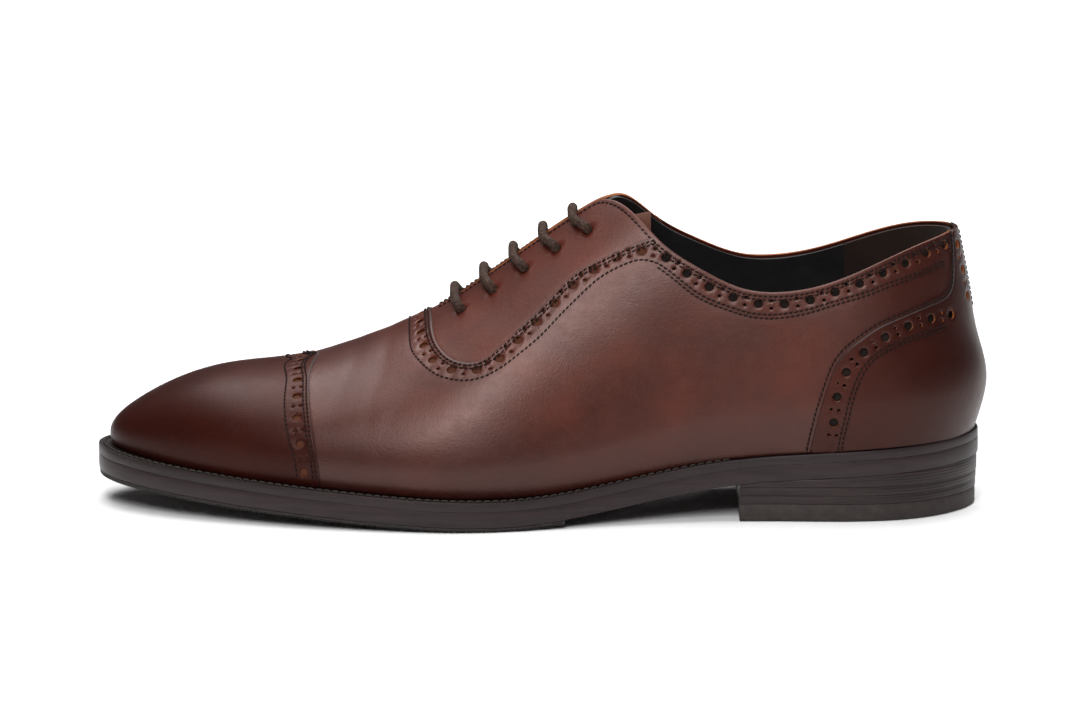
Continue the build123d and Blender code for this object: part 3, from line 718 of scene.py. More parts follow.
def calf(name, light, middle, dark, rough=0.39, coat=0.10, specular=0.5):
    """Polished calf: mottled brown with a fine grain, burnished towards toe and heel, with painted shade that
    darkens it towards the bottom.
    """
    shader = Shader(name, middle, rough, specular=specular, coat=coat, coat_rough=0.36)
    shader.surface.inputs["Specular Tint"].default_value = (1.0, 0.74, 0.68, 1)
    mottle = shader.noise(38, 3, 0.55, distortion=0.3)
    soft_dark = tuple(0.55 * m + 0.45 * d for m, d in zip(middle, dark))
    tone = shader.ramp(mottle, [(0.3, soft_dark), (0.5, middle), (0.72, light)])
    toe = shader.along(0, -78, -140)
    heel = shader.along(0, 84, 150)
    # painted shade: darker towards the bottom, where the sides turn away from the light
    low = shader.along(2, 50, 18)
    tone = shader.mix(shader.spread(toe, 0, 0.72), tone, dark)
    tone = shader.mix(shader.spread(heel, 0, 0.8), tone, dark)
    tone = shader.mix(shader.spread(low, 0, 0.62), tone, dark)
    grain = shader.cells(1250)
    pores = shader.ramp(grain, [(0.0, (0.25, 0.2, 0.2)), (0.25, (1, 1, 1))])
    tone = shader.mix(0.22, tone, pores, "MULTIPLY")
    shader.colour(tone)
    shader.roughness(shader.noise(240, 3), rough - 0.07, rough + 0.09)
    shader.bump(grain, 0.05, 0.8)
    shader.bump(shader.noise(900, 4), 0.07, 0.6)
    shader.bump(shader.noise(150, 3, stretch=(0.35, 1, 1.3), distortion=0.6), 0.12, 0.35)
    return shader.material


def plain_leather(name, dark, light, rough, grain_mm=0.03, scale=900, specular=0.5, sheen=0.0):
    shader = Shader(name, light, rough, specular, sheen=sheen)
    shader.colour(shader.ramp(shader.noise(130, 4, 0.6), [(0.3, dark), (0.7, light)]))
    shader.roughness(shader.noise(300), rough - 0.07, rough + 0.07)
    shader.bump(shader.cells(scale), grain_mm, 0.6)
    shader.bump(shader.noise(scale * 0.8, 4), grain_mm, 0.6)
    return shader.material


def suede(name, dark, light):
    shader = Shader(name, light, 0.95, 0.12, sheen=0.08)
    shader.surface.inputs["Sheen Roughness"].default_value = 0.6
    nap = shader.noise(1500, 5, 0.7)
    cloud = shader.noise(70, 3, 0.6)
    tone = shader.ramp(cloud, [(0.3, dark), (0.7, light)])
    shade = shader.ramp(nap, [(0.3, (0.45, 0.45, 0.45)), (0.7, (1, 1, 1))])
    shader.colour(shader.mix(0.5, tone, shade, "MULTIPLY"))
    shader.bump(nap, 0.16, 0.8)
    return shader.material


def sole_edge(name, dark, light, rough, layer_scale=0):
    """Waxed leather edge: fibres that run along it, and layer lines on the heel stack."""
    shader = Shader(name, light, rough, 0.32)
    fibre = shader.noise(420, 5, 0.65, stretch=(0.12, 0.12, 1.6))
    shader.colour(shader.ramp(fibre, [(0.3, dark), (0.7, light)]))
    shader.roughness(fibre, rough + 0.1, rough - 0.05)
    shader.bump(fibre, 0.07, 0.6)
    if layer_scale:
        shader.bump(shader.waves(layer_scale, "Z", 0.35), 0.12, 0.5)
    shader.bump(shader.noise(1400, 3), 0.03, 0.6)
    return shader.material


def rubber(name, dark, light, lines):
    shader = Shader(name, light, 0.62, 0.4)
    shader.colour(shader.ramp(shader.noise(350, 4), [(0.3, dark), (0.7, light)]))
    shader.bump(shader.noise(1800, 3), 0.05, 0.7)
    if lines:
        shader.bump(shader.waves(lines, "X", 0.0), 0.5, 0.7)
    return shader.material


def thread(name, dark, light):
    shader = Shader(name, light, 0.8, 0.18)
    shader.colour(shader.ramp(shader.noise(2500, 3), [(0.35, dark), (0.65, light)]))
    shader.bump(shader.noise(4200, 3), 0.05, 0.7)
    return shader.material


def braid(name, dark, light):
    shader = Shader(name, light, 0.78, 0.25)
    weave = shader.cells(1150, "F1")
    shader.colour(shader.ramp(weave, [(0.05, light), (0.6, dark)]))
    shader.bump(weave, -0.16, 0.7)
    shader.bump(shader.noise(3500, 3), 0.05, 0.6)
    return shader.material


def metal(name, base, rough, brushed=900):
    shader = Shader(name, base, rough, metallic=1.0)
    scratch = shader.noise(brushed, 4, 0.6, stretch=(1, 1, 0.1))
    shader.colour(shader.ramp(scratch, [(0.3, tuple(c * 0.75 for c in base)), (0.7, base)]))
    shader.roughness(scratch, rough - 0.08, rough + 0.12)
    shader.bump(scratch, 0.02, 0.5)
    return shader.material


def cloth(name, dark, light):
    shader = Shader(name, light, 0.95, 0.1)
    weave = shader.waves(520, "X", 0.1)
    shader.colour(shader.mix(0.5, shader.ramp(weave, [(0.2, dark), (0.8, light)]),
                             shader.ramp(shader.waves(520, "Z", 0.1), [(0.2, dark), (0.8, light)])))
    shader.bump(weave, 0.12, 0.7)
    return shader.material


def cork(name):
    shader = Shader(name, (0.42, 0.26, 0.14), 0.92, 0.1)
    crumbs = shader.cells(420, "F1")
    tones = [(0.05, (0.5, 0.33, 0.18)), (0.5, (0.34, 0.2, 0.1)), (0.9, (0.16, 0.09, 0.05))]
    shader.colour(shader.ramp(crumbs, tones))
    shader.bump(crumbs, -0.5, 0.7)
    return shader.material


CALF = calf("calf", (0.078, 0.0120, 0.0050), (0.056, 0.0084, 0.0036), (0.020, 0.0027, 0.0015), 0.39, 0.08)
BAND_CALF = calf("facing calf", (0.090, 0.0145, 0.0062), (0.068, 0.0102, 0.0044), (0.028, 0.0038, 0.0021),
                 0.41)
CAP_CALF = calf("cap calf", (0.062, 0.0096, 0.0042), (0.046, 0.0068, 0.0031), (0.018, 0.0025, 0.0015),
                0.40, 0.0, 0.20)
COUNTER_CALF = calf("counter calf", (0.058, 0.0084, 0.0036), (0.042, 0.0060, 0.0027), (0.016, 0.0022, 0.0013),
                    0.38, 0.0, 0.30)
# The leather seen down the punched holes: its matte brown is painted shade of the holes' recess.
UNDERLAP_SHADE = plain_leather("underlap", (0.060, 0.018, 0.008), (0.110, 0.034, 0.015), 0.75, 0.03, 900, 0.2)
RAW_EDGE = plain_leather("cut edge", (0.16, 0.045, 0.014), (0.30, 0.095, 0.030), 0.75, 0.03, 1600, 0.2)
DARK_EDGE = plain_leather("inked edge", (0.008, 0.004, 0.004), (0.018, 0.008, 0.007), 0.45, 0.02, 1600)
LINING = plain_leather("lining", (0.006, 0.0055, 0.0055), (0.013, 0.011, 0.011), 0.5, 0.03, 1000)
GRIP = suede("grip", (0.020, 0.0095, 0.0065), (0.034, 0.017, 0.011))
TONGUE_SUEDE = suede("tongue", (0.050, 0.015, 0.008), (0.090, 0.028, 0.014))
PLY_DARK = cloth("ply", (0.010, 0.008, 0.007), (0.022, 0.016, 0.014))
BOARD = plain_leather("board", (0.010, 0.007, 0.006), (0.022, 0.015, 0.012), 0.85, 0.05, 700, 0.2)
INSOLE = plain_leather("insole", (0.30, 0.16, 0.075), (0.44, 0.27, 0.14), 0.8, 0.04, 900, 0.2)
CORK = cork("cork")
WELT_EDGE = sole_edge("welt", (0.010, 0.0052, 0.0055), (0.024, 0.0125, 0.0128), 0.44)
SOLE_EDGE = sole_edge("sole", (0.011, 0.0056, 0.0060), (0.026, 0.0135, 0.0140), 0.42)
HEEL_EDGE = sole_edge("heel", (0.011, 0.0062, 0.0060), (0.028, 0.0160, 0.0150), 0.46, 300)
TREAD_RUBBER = rubber("tread", (0.010, 0.007, 0.0065), (0.020, 0.013, 0.012), 44)
HEEL_RUBBER = rubber("heel rubber", (0.018, 0.012, 0.011), (0.034, 0.024, 0.021), 0)
STITCH = thread("stitch", (0.004, 0.0018, 0.0015), (0.014, 0.006, 0.0045))
WELT_THREAD = thread("welt thread", (0.014, 0.013, 0.011), (0.050, 0.046, 0.038))
LACE_CORD = braid("lace", (0.024, 0.011, 0.0070), (0.080, 0.040, 0.026))
BRASS = metal("antique brass", (0.22, 0.14, 0.06), 0.42)
AGLET = metal("aglet", (0.20, 0.13, 0.07), 0.35)
STEEL = metal("steel", (0.5, 0.5, 0.52), 0.32)

# ---- outlines of the panels on the lateral side, (x, z) ------------------------------------------
# The points of these lists, and of body_lap's, were picked along the seams on the photograph and turned
# into mm by a helper script; a few were moved by hand afterwards. They should be a few driving knots
# with parallel offsets instead.
CAP_EDGE = [(-77.8, 50.4), (-80, 47), (-79.8, 42.8), (-79.2, 37.6), (-78.3, 31.7), (-77.2, 25.4),
            (-76, 16.7)]
COUNTER_EDGE = [(91.5, 20.5), (92.4, 26.4), (93.7, 32.6), (95.6, 40.3), (97.9, 47.5), (100.6, 54.6),
                (104.6, 60), (109.7, 64), (114.8, 67.3), (121.7, 70.1), (128.7, 72.5), (135.8, 74.4),
                (139.3, 75.9), (141, 78.4), (141.6, 82.3), (141.6, 88), (141, 97.6)]
FACING_EDGE = [(-37.2, 62.2), (-34.3, 58.6), (-31.2, 56.7), (-27.1, 55.8), (-20.9, 56.7), (-16.9, 59.2),
               (-12.5, 63), (-7.4, 67.5), (-0.6, 73.5), (6.2, 80.3), (11.3, 84.8), (19.9, 89.5),
               (26.7, 92.6), (33.5, 95.3), (38.6, 97)]
FACING_ROW = [(-45.6, 60.7), (-44.3, 56.9), (-41.5, 54.6), (-36.9, 51.9), (-31.1, 50.5), (-26, 50.3),
              (-20.2, 51.5), (-14.1, 54.5), (-7.4, 59.2), (-0.6, 64.6), (6.2, 71.3), (13, 77.7), (19.8, 83.5),
              (26.6, 87.2), (33.4, 89.5), (40.2, 88.3)]
COLLAR_ROW = [(40.2, 88.3), (47, 83.5), (53.8, 78.5), (64, 74.3), (70.8, 72.3), (77.5, 71.6), (84.3, 72.2),
              (91.1, 73.6), (97.8, 75.7), (104.6, 77.7), (111.4, 79.6), (118.3, 82.1), (125.2, 84),
              (132.3, 86), (138.6, 87.3)]
BAND_LINE = [(-40.2, 58.2), (-34.9, 54.1), (-25.7, 53.3), (-16.2, 56.2), (-9.7, 61.9), (-3, 68), (3.2, 74),
             (9.6, 80.1), (16.1, 84.9), (23.3, 89.2), (31.1, 91.9), (39.6, 91.7), (46.3, 87.7), (52.8, 83.3),
             (61.6, 78.9), (70.4, 76), (78.9, 75.1), (87, 75.9), (95.8, 77.9), (102.9, 80.5), (110.4, 83.0),
             (117.9, 86.1), (125.3, 88.7), (131.6, 91.0), (139.0, 92.9)]
COUNTER_LINE = [(98.6, 21.6), (99.4, 27.2), (100.1, 35.5), (101.2, 44.1), (104, 52), (109.7, 58.8),
                (116.5, 63.6), (123.4, 66.9), (131.2, 69.0), (140.6, 69.6)]
COUNTER_ROW = [(101.5, 21.5), (101.9, 27.2), (103.8, 36.2), (105.4, 43.2), (107.4, 49), (110.1, 54.4),
               (113.1, 57.7), (118.3, 60.9), (125.2, 63.5), (132.2, 65.2), (138.4, 66.9)]
CAP_LINE = [(-84.4, 48.2), (-84.4, 47.4), (-84.3, 44.9), (-84.2, 41.3), (-83.9, 35.3), (-82.4, 26.5),
            (-81.4, 17.8)]
CAP_ROW = [(-87.2, 48.4), (-88, 46), (-88.3, 42), (-87.9, 36), (-86.9, 31), (-85.5, 26.5), (-84.1, 20.5),
           (-83.8, 17)]
EDGE_ROWS = (1.1, 2.3)     # the two rows along a cut edge
PAIR = 1.3                 # between the two rows of a pair
BAND_PITCH, CAP_PITCH, COUNTER_PITCH = 9.0, 9.6, 8.9
GAP_HALF = natural_spline([(-39, 1.0), (-14, 3.2), (10, 5.0), (28, 6.2)])
HOLE, SMALL_HOLE = 1.6, 0.62
SMALL_ASIDE = 1.3


def across_ridge(outline, ridge_x):
    """A side outline and its mirror image, joined over the ridge, on the body chart."""
    side = BODY.flat(on_side(outline, LATERAL))
    ridge = np.array([[ridge_x, 0.0]])
    return smooth_path(np.concatenate([side[::-1], ridge, side * [1, -1]]))


def one_side(outline, side):
    """The same outline on either side; the medial one is its mirror image on the body chart."""
    flat = smooth_path(BODY.flat(on_side(outline, LATERAL)))
    return flat if side == LATERAL else flat * [1, -1]


def foot_line(low_x, high_x, side, drop=0.0):
    """Where the upper meets the seat."""
    x = np.linspace(low_x, high_x, max(int(abs(high_x - low_x) / 2), 3))
    z = seat_z(x) + drop
    return np.stack([x, skin_y(x, z, side), z], 1)


def top_line(low_x, high_x, side, drop=0.0):
    """The top edge of the upper."""
    x = np.linspace(low_x, high_x, max(int(abs(high_x - low_x) / 1.2), 3))
    z = np.minimum(topline(x, side), ridge_z(x) - 0.2) - drop
    return np.stack([x, skin_y(x, z, side), z], 1)


def trim_below(flat, foot_path, clear=0.2):
    """Ends a side path where it reaches the foot line, on the body chart."""
    limit = np.interp(flat[:, 0], foot_path[:, 0], np.abs(foot_path[:, 1]))
    return flat[np.abs(flat[:, 1]) < limit - clear]


def holes_along(chart, path, pitch, first=0.0, last=0.0):
    """Large holes an even way apart along a path, and a pair of small ones between each two."""
    points, normal, along_u, along_v = frames(chart, path)
    run = run_length(points)
    count = max(int(round((run[-1] - first - last) / pitch)), 1)
    at = first + np.arange(count + 1) * (run[-1] - first - last) / count
    holes = []

    def place(distance, sideways):
        centre = np.array([np.interp(distance, run, points[:, k]) for k in range(3)])
        out = np.array([np.interp(distance, run, normal[:, k]) for k in range(3)])
        ahead = np.array([np.interp(distance + 0.5, run, points[:, k]) for k in range(3)])
        back = np.array([np.interp(distance - 0.5, run, points[:, k]) for k in range(3)])
        way = (ahead - back) / max(np.linalg.norm(ahead - back), 1e-9)
        return chart.flat((centre + np.cross(out, way) * sideways)[None])[0]

    for i, distance in enumerate(at):
        holes.append((place(distance, 0), HOLE))
        if i < count:
            between = (distance + at[i + 1]) / 2
            holes.append((place(between, SMALL_ASIDE), SMALL_HOLE))
            holes.append((place(between, -SMALL_ASIDE), SMALL_HOLE))
    return holes


# ---- upper: body panel ---------------------------------------------------------------------------
stitches = Threads()
SIDES = (LATERAL, MEDIAL)
FOOT_DROP = -0.3
foot = {side: BODY.flat(foot_line(-92, 142, side)) for side in SIDES}


def joined(*lines):
    return np.concatenate(lines)


def upright(u, start, end, count):
    """A straight line across a chart at one place along it."""
    return np.stack([np.full(count, u), np.linspace(start, end, count)], 1)


def softened(line, rounds, closed=True):
    """The same outline with its corners worn round."""
    line = even_path(line, 1.0, closed)
    for _ in range(rounds):
        near = (np.roll(line, 1, axis=0) + np.roll(line, -1, axis=0)) / 2
        if not closed:
            near[0], near[-1] = line[0], line[-1]
        line = (line + near) / 2
    return line


def undulate(points, depth=0.10):
    """The faint unevenness of leather that was pulled over a last by hand."""
    x, y, z = points.T
    wave = np.sin(x / 6.1 + 1.3 * np.sin(z / 9.7)) * np.sin(z / 7.3 + y / 8.9)
    return depth * wave


def paint_shade_under_holes(piece, chart, cover, index, ahead_of=200):
    """The part of a panel that lies under another one, seen through the punched holes, takes a matte brown:
    painted shade of the holes' recess.
    """
    polygons = piece.data.polygons
    centres = np.zeros(len(polygons) * 3)
    polygons.foreach_get("center", centres)
    centres = centres.reshape(-1, 3) / MM
    near = np.where(centres[:, 0] < ahead_of)[0]
    flat = chart.flat(centres[near])
    deep = inside_loop(flat, cover) & (edge_distance(flat, cover) > 0.8)
    for k in near[deep]:
        polygons[int(k)].material_index = index


def ink_edge(piece, chart, cover, index, width=0.32, below=None):
    """A line of dark edge ink round a cut edge."""
    polygons = piece.data.polygons
    centres = np.zeros(len(polygons) * 3)
    polygons.foreach_get("center", centres)
    centres = centres.reshape(-1, 3) / MM
    inked = edge_distance(chart.flat(centres), cover) < width
    if below is not None:
        inked &= below(centres)
    for k in np.where(inked)[0]:
        if polygons[int(k)].material_index == 0:
            polygons[int(k)].material_index = index


def off_the_collar(points):
    side = np.where(points[:, 1] < ridge_y(points[:, 0]), LATERAL, MEDIAL)
    line = np.where(side == LATERAL, topline(points[:, 0], LATERAL), topline(points[:, 0], MEDIAL))
    return (points[:, 0] < 38) | (points[:, 2] < line - 1.5)


# creases across the joint of the toes
CREASES = [(-70, 0.35, 0.10), (-58, 0.2, 0.12), (-49, 0.5, 0.08)]


def creases(points):
    x, y, z = points.T
    total = np.zeros(len(x))
    for place, slope, depth in CREASES:
        away = (x - place - slope * (z - 40) + 1.2 * np.sin(z / 5)) / 2.4
        total -= depth * np.exp(-away**2) * smoothstep(28, 46, z)
    return total


ROW_GROOVE = 0.10         # stitches pull the leather down this far
CAP_UNDERLAP, COUNTER_UNDERLAP = 10.0, 3.0

facing_edge = {side: one_side([(-38.6, 99), (-38.1, 65.4), *FACING_EDGE], side) for side in SIDES}
facing_row = {side: one_side([(-45.9, 99), *FACING_ROW], side) for side in SIDES}
collar_row = {side: one_side(COLLAR_ROW, side) for side in SIDES}
band_line = {side: one_side([(-42.3, 99), (-41.9, 62.2), *BAND_LINE], side) for side in SIDES}
collar_top = {side: BODY.flat(top_line(39.2, 141.4, side)) for side in SIDES}

body_loop = []
for side in SIDES:
    edge = facing_edge[side]
    counter = one_side([(x + (COUNTER_UNDERLAP if z < 76 else 0.6), z - (1.5 if 60 < z < 76 else 0))
                        for x, z in COUNTER_EDGE], side)
    counter = counter[np.abs(counter[:, 1]) > np.abs(collar_top[side][-1, 1]) + 0.5]
    counter = trim_below(counter, foot[side])
    sole = foot[side][(foot[side][:, 0] > -83) & (foot[side][:, 0] < counter[0, 0])]
    body_loop.append([edge, collar_top[side], counter[::-1], sole[::-1]])
cap_line = across_ridge([(x - CAP_UNDERLAP, z) for x, z in CAP_EDGE], -87.5)
cap_line = trim_below(cap_line, foot[LATERAL])
lateral_part = joined(*body_loop[0])
medial_part = joined(*body_loop[1])
if cap_line[0, 1] > 0:
    cap_line = cap_line[::-1]
loop = joined(lateral_part, cap_line, medial_part[::-1])

band_both = joined(band_line[LATERAL][::-1], band_line[MEDIAL])
band_holes = holes_along(BODY, band_both, BAND_PITCH, 0.5, 0.5)
body_rows = [facing_row[LATERAL], facing_row[MEDIAL], collar_row[LATERAL], collar_row[MEDIAL]]
edge_rows = []
for side in SIDES:
    for distance in EDGE_ROWS:
        edge_rows.append(aside(BODY, facing_edge[side], side * distance))
        edge_rows.append(aside(BODY, collar_top[side], side * (distance + 0.5)))
    body_rows.append(aside(BODY, collar_row[side], side * PAIR))


def groove(chart_points, rows, width=0.55, depth=ROW_GROOVE):
    """How much the stitched rows sink the leather around them."""
    total = np.zeros(len(chart_points))
    for row in rows:
        row = even_path(row, 1.0)
        for low in range(0, len(chart_points), BLOCK):
            some = chart_points[low:low + BLOCK]
            away = np.sqrt(((some[:, None] - row[None]) ** 2).sum(2).min(1))
            total[low:low + BLOCK] = np.maximum(total[low:low + BLOCK], np.exp(-(away / width) ** 2))
    return -depth * total


def body_relief(flat, points):
    raised = undulate(points) + creases(points) + groove(flat, body_rows + edge_rows)
    return raised - LAP_STEP * body_lap(points)


def body_floor(points):
    thick = 0.5 + 0.75 * smoothstep(42, 58, points[:, 0])
    return -np.where(points[:, 0] < -48, 1.25, thick)


def collar_edge(point):
    """The cut edge shows its tan core along the collar; elsewhere it is inked."""
    side = LATERAL if point[1] < ridge_y(point[0]) else MEDIAL
    return int(point[0] > 39 and point[2] > topline(point[0], side) - 1.2)


def body_lap(points):
    """The body leather is skived where the cap lies over it."""
    heights, places = [17, 25, 32, 38, 43, 47, 50], [-76, -77.2, -78.3, -79.2, -79.8, -80, -78]
    edge = np.interp(points[:, 2], heights, places)
    return smoothstep(-0.6, -1.8, points[:, 0] - edge)


vamp = panel("visual_vamp_quarters", BODY, loop, [CALF, RAW_EDGE, UNDERLAP_SHADE, DARK_EDGE], band_holes, 0.0,
             body_floor, spacing=FINE, relief=body_relief, edge_material=collar_edge)
ink_edge(vamp, BODY, loop, 3, 0.2, off_the_collar)
settle(vamp, "shoe", "upper_leather", "vamp_quarters")
for row in body_rows + edge_rows:
    stitches.on_chart(BODY, row, 0.0)

# ---- upper: toe cap ------------------------------------------------------------------------------
cap_side = smooth_path(on_side([(x, z) for x, z in CAP_EDGE], LATERAL))
CAP_RIDGE_X = -77.0
cap_ridge = np.array([[CAP_RIDGE_X, float(ridge_y(CAP_RIDGE_X)), float(ridge_z(CAP_RIDGE_X))]])
mirrored = BODY.points(BODY.flat(cap_side) * [1, -1])
cap_back = joined(cap_side[::-4][:-1], cap_side[:1], cap_ridge, mirrored[:1], mirrored[4::4])
cap_back = FRONT.flat(smooth_path(cap_back))
toe_share = (1 - np.cos(np.linspace(0, pi, 90))) / 2
toe_x = TOE + 0.25 + (-76.0 - TOE - 0.25) * toe_share**1.6
rims = {}
for side in SIDES:
    z = seat_z(toe_x) + 0.1
    rims[side] = np.stack([toe_x, skin_y(toe_x, z, side), z], 1)
toe_rim = FRONT.flat(joined(rims[MEDIAL][::-1], rims[LATERAL]))
cap_loop = joined(cap_back[2:-2], toe_rim[2:-2])


def on_front(path):
    """A line on the body chart, moved to the toe chart."""
    return FRONT.flat(BODY.points(path))


cap_line_holes = trim_below(across_ridge(CAP_LINE, -83.6), foot[LATERAL], 2.5)
cap_inner_row = trim_below(across_ridge(CAP_ROW, -86.5), foot[LATERAL], 0.8)
cap_edge_body = trim_below(across_ridge(CAP_EDGE, CAP_RIDGE_X), foot[LATERAL], 0.8)
cap_holes = holes_along(FRONT, on_front(cap_line_holes), CAP_PITCH, 1.0, 1.0)
cap_rows = [on_front(cap_inner_row)]
cap_rows += [on_front(aside(BODY, cap_edge_body, distance)) for distance in EDGE_ROWS]


def cap_floor(points):
    lap = smoothstep(-94, -91.5, points[:, 0])
    return -0.8 + 0.84 * lap


def cap_relief(flat, points):
    return undulate(points, 0.07) + groove(flat, cap_rows)


cap = panel("visual_toe_cap", FRONT, cap_loop, [CAP_CALF, RAW_EDGE, DARK_EDGE], cap_holes, RAISED, cap_floor,
            spacing=FINE, edge=0.4, relief=cap_relief)
ink_edge(cap, FRONT, cap_loop, 2, 0.36)
# the vamp seen down the cap's holes takes painted shade
paint_shade_under_holes(vamp, FRONT, cap_loop, 2, ahead_of=-74)
settle(cap, "shoe", "upper_leather", "toe_cap")
for row in cap_rows:
    stitches.on_chart(FRONT, row, RAISED)

# ---- upper: heel counter cover with its back strip -----------------------------------------------
counter_edge = {LATERAL: smooth_path(on_side(COUNTER_EDGE, LATERAL))}
counter_edge[MEDIAL] = BODY.points(BODY.flat(counter_edge[LATERAL]) * [1, -1])
BACK_TOP = 97.1
counter_flat = {side: BACK.flat(counter_edge[side]) for side in SIDES}
for side in SIDES:
    keep = counter_flat[side][:, 1] < BACK_TOP - 0.4
    keep &= counter_flat[side][:, 1] > seat_z(counter_edge[side][:, 0]) + 0.3
    counter_flat[side] = counter_flat[side][keep]
lateral_top, medial_top = counter_flat[LATERAL][-1, 0], counter_flat[MEDIAL][-1, 0]
top_u = np.linspace(lateral_top, medial_top, 12)
strip_top = np.stack([top_u, np.full(12, BACK_TOP)], 1)
low_u = np.linspace(counter_flat[MEDIAL][0, 0], counter_flat[LATERAL][0, 0], 140)
angle = low_u / BACK.RADIUS
low_x = BACK.AXIS + 40 * np.cos(angle)
heel_low = np.stack([low_u, seat_z(np.clip(low_x, 80, 152)) + 0.1], 1)
counter_loop = joined(counter_flat[LATERAL], strip_top[1:-1], counter_flat[MEDIAL][::-1], heel_low[1:-1])


def on_back(outline, side):
    path = smooth_path(on_side(outline, LATERAL))
    if side == MEDIAL:
        path = BODY.points(BODY.flat(path) * [1, -1])
    return BACK.flat(path)


COUNTER_EDGE_ROW, STRIP_HOLES, STRIP_ROW = 1.2, 6.3, 0.6
counter_holes, counter_rows = [], []
for side in SIDES:
    line = on_back(COUNTER_LINE, side)
    counter_holes += holes_along(BACK, line, COUNTER_PITCH, first=4.6)
    row = on_back(COUNTER_ROW, side)
    counter_rows += [row, aside(BACK, row, side * PAIR)]
    counter_rows.append(aside(BACK, counter_flat[side], -side * COUNTER_EDGE_ROW))
strip_holes = []
for level in (74.0, 83.2, 92.0):
    strip_holes += [(np.array([way * STRIP_HOLES, level]), HOLE) for way in SIDES]
for level in (78.6, 87.6):
    strip_holes += [(np.array([way * STRIP_HOLES + step, level]), SMALL_HOLE)
                    for way in SIDES for step in (-1.1, 1.1)]
middle_row = np.stack([np.zeros(50), np.linspace(69, 96, 50)], 1)
counter_rows += [middle_row + [STRIP_ROW, 0], middle_row - [STRIP_ROW, 0]]


def counter_relief(flat, points):
    strip = smoothstep(10, 7, np.abs(flat[:, 0])) * smoothstep(66, 70, flat[:, 1])
    return undulate(points, 0.08) + groove(flat, counter_rows) + 0.1 * strip


def counter_floor(points):
    flat = BACK.flat(points)
    strip = smoothstep(9.5, 8.0, np.abs(flat[:, 0])) * smoothstep(70, 74, flat[:, 1])
    lap = np.clip(1 - edge_distance(flat, counter_loop) / 3.5, 0, 1) ** 0.5
    return 0.04 - (1 - lap) * 0.6 - strip * 1.1


counter = panel("visual_counter", BACK, counter_loop, [COUNTER_CALF, RAW_EDGE, DARK_EDGE],
                counter_holes + strip_holes, RAISED, counter_floor, spacing=FINE, edge=0.4,
                relief=counter_relief)
ink_edge(counter, BACK, counter_loop, 2, 0.34, lambda points: points[:, 2] < 95)
settle(counter, "shoe", "upper_leather", "heel_counter_cover")
for row in counter_rows:
    stitches.on_chart(BACK, row, RAISED)

# ---- upper: facings ------------------------------------------------------------------------------
EYELETS = 5
EYELET_SIDE = {LATERAL: 16.4, MEDIAL: 13.8}
EYELET_FIRST, EYELET_PITCH, SIDE_STEP = -28.0, 10.9, 0.35


def skin_point(x, y, height=0.0):
    points = on_top([(x, y), (x + 0.5, y), (x - 0.5, y), (x, y + 0.5), (x, y - 0.5)])
    normal = np.cross(points[1] - points[2], points[3] - points[4])
    normal /= np.linalg.norm(normal)
    return points[0] + normal * height, normal


def eyelet(row, sign, height=0.0, aside_by=0.0):
    x = EYELET_FIRST + EYELET_PITCH * row
    return skin_point(x, float(ridge_y(x)) + sign * (EYELET_SIDE[sign] - SIDE_STEP * row + aside_by), height)


FACING_UNDERLAP, RIM_ROW, EYELET_HOLE = 7.4, 1.8, 1.9
for side, name in ((LATERAL, "lateral"), (MEDIAL, "medial")):
    x = np.linspace(-39, 23.0, 60)
    gap = BODY.flat(on_top(np.stack([x, ridge_y(x) + side * GAP_HALF(x)], 1)))
    top = BODY.flat(top_line(23.2, 42.5, side))
    top = top[np.abs(top[:, 1]) > np.abs(gap[-1, 1]) + 0.6]
    under = aside(BODY, facing_edge[side], side * FACING_UNDERLAP)
    low = np.interp(under[:, 0], top[:, 0], np.abs(top[:, 1]), left=0)
    under = under[(under[:, 0] < 43) & (np.abs(under[:, 1]) > np.maximum(low + 0.6, 1.5))]
    front = np.array([[-46.4, side * 0.35]])
    facing_loop = softened(joined(gap[:-3], top[2:], under[::-1], front), 10)
    punched = []
    for row in range(EYELETS):
        place, _ = eyelet(row, side)
        punched.append((BODY.flat(place[None])[0], EYELET_HOLE))
    rim = softened(joined(gap[:-3], top[2:]), 10, closed=False)
    rows = [aside(BODY, rim[3:], side * RIM_ROW)]

    def facing_relief(flat, points, rows=rows):
        lap = np.where(inside_loop(flat, loop), np.clip(edge_distance(flat, loop) - 0.6, 0, 1), 0)
        return undulate(points, 0.08) + groove(flat, rows) - LAP_STEP * lap

    facing = panel(f"visual_facing_{name}", BODY, facing_loop, [BAND_CALF, RAW_EDGE, RAW_EDGE, UNDERLAP_SHADE],
                   punched, -LAP_DROP, -1.75, spacing=FINE, relief=facing_relief,
                   edge_material=lambda point: 2)
    # the facing seen down the band's holes takes painted shade
    paint_shade_under_holes(facing, BODY, loop, 3)
    settle(facing, "shoe", "facing_leather", f"facing_{name}")
    for row in rows:
        stitches.on_chart(BODY, row, -LAP_DROP)

upper_threads = stitches.finish("visual_stitches", STITCH)
settle(upper_threads, "shoe", "upper_leather")

# ---- linings -------------------------------------------------------------------------------------
LINING_TOP, LINING_FLOOR = -1.9, -2.9
LINING_BACK = 106.0
for side, name in ((LATERAL, "lateral"), (MEDIAL, "medial")):
    x = np.linspace(-38.8, 22.0, 50)
    gap = BODY.flat(on_top(np.stack([x, ridge_y(x) + side * (GAP_HALF(x) + 0.8)], 1)))
    top = BODY.flat(top_line(23.5, LINING_BACK, side, 0.75))
    top = top[np.abs(top[:, 1]) > np.abs(gap[-1, 1]) + 0.6]
    sole = foot[side][(foot[side][:, 0] > -38.8) & (foot[side][:, 0] < LINING_BACK)]
    piece = panel(f"visual_lining_{name}", BODY, joined(gap, top, sole[::-1]), [LINING, RAW_EDGE], (),
                  LINING_TOP, LINING_FLOOR, spacing=2.4, edge=0.3,
                  relief=lambda flat, points: undulate(points, 0.12))
    settle(piece, "shoe", "lining_leather", f"quarter_lining_{name}")

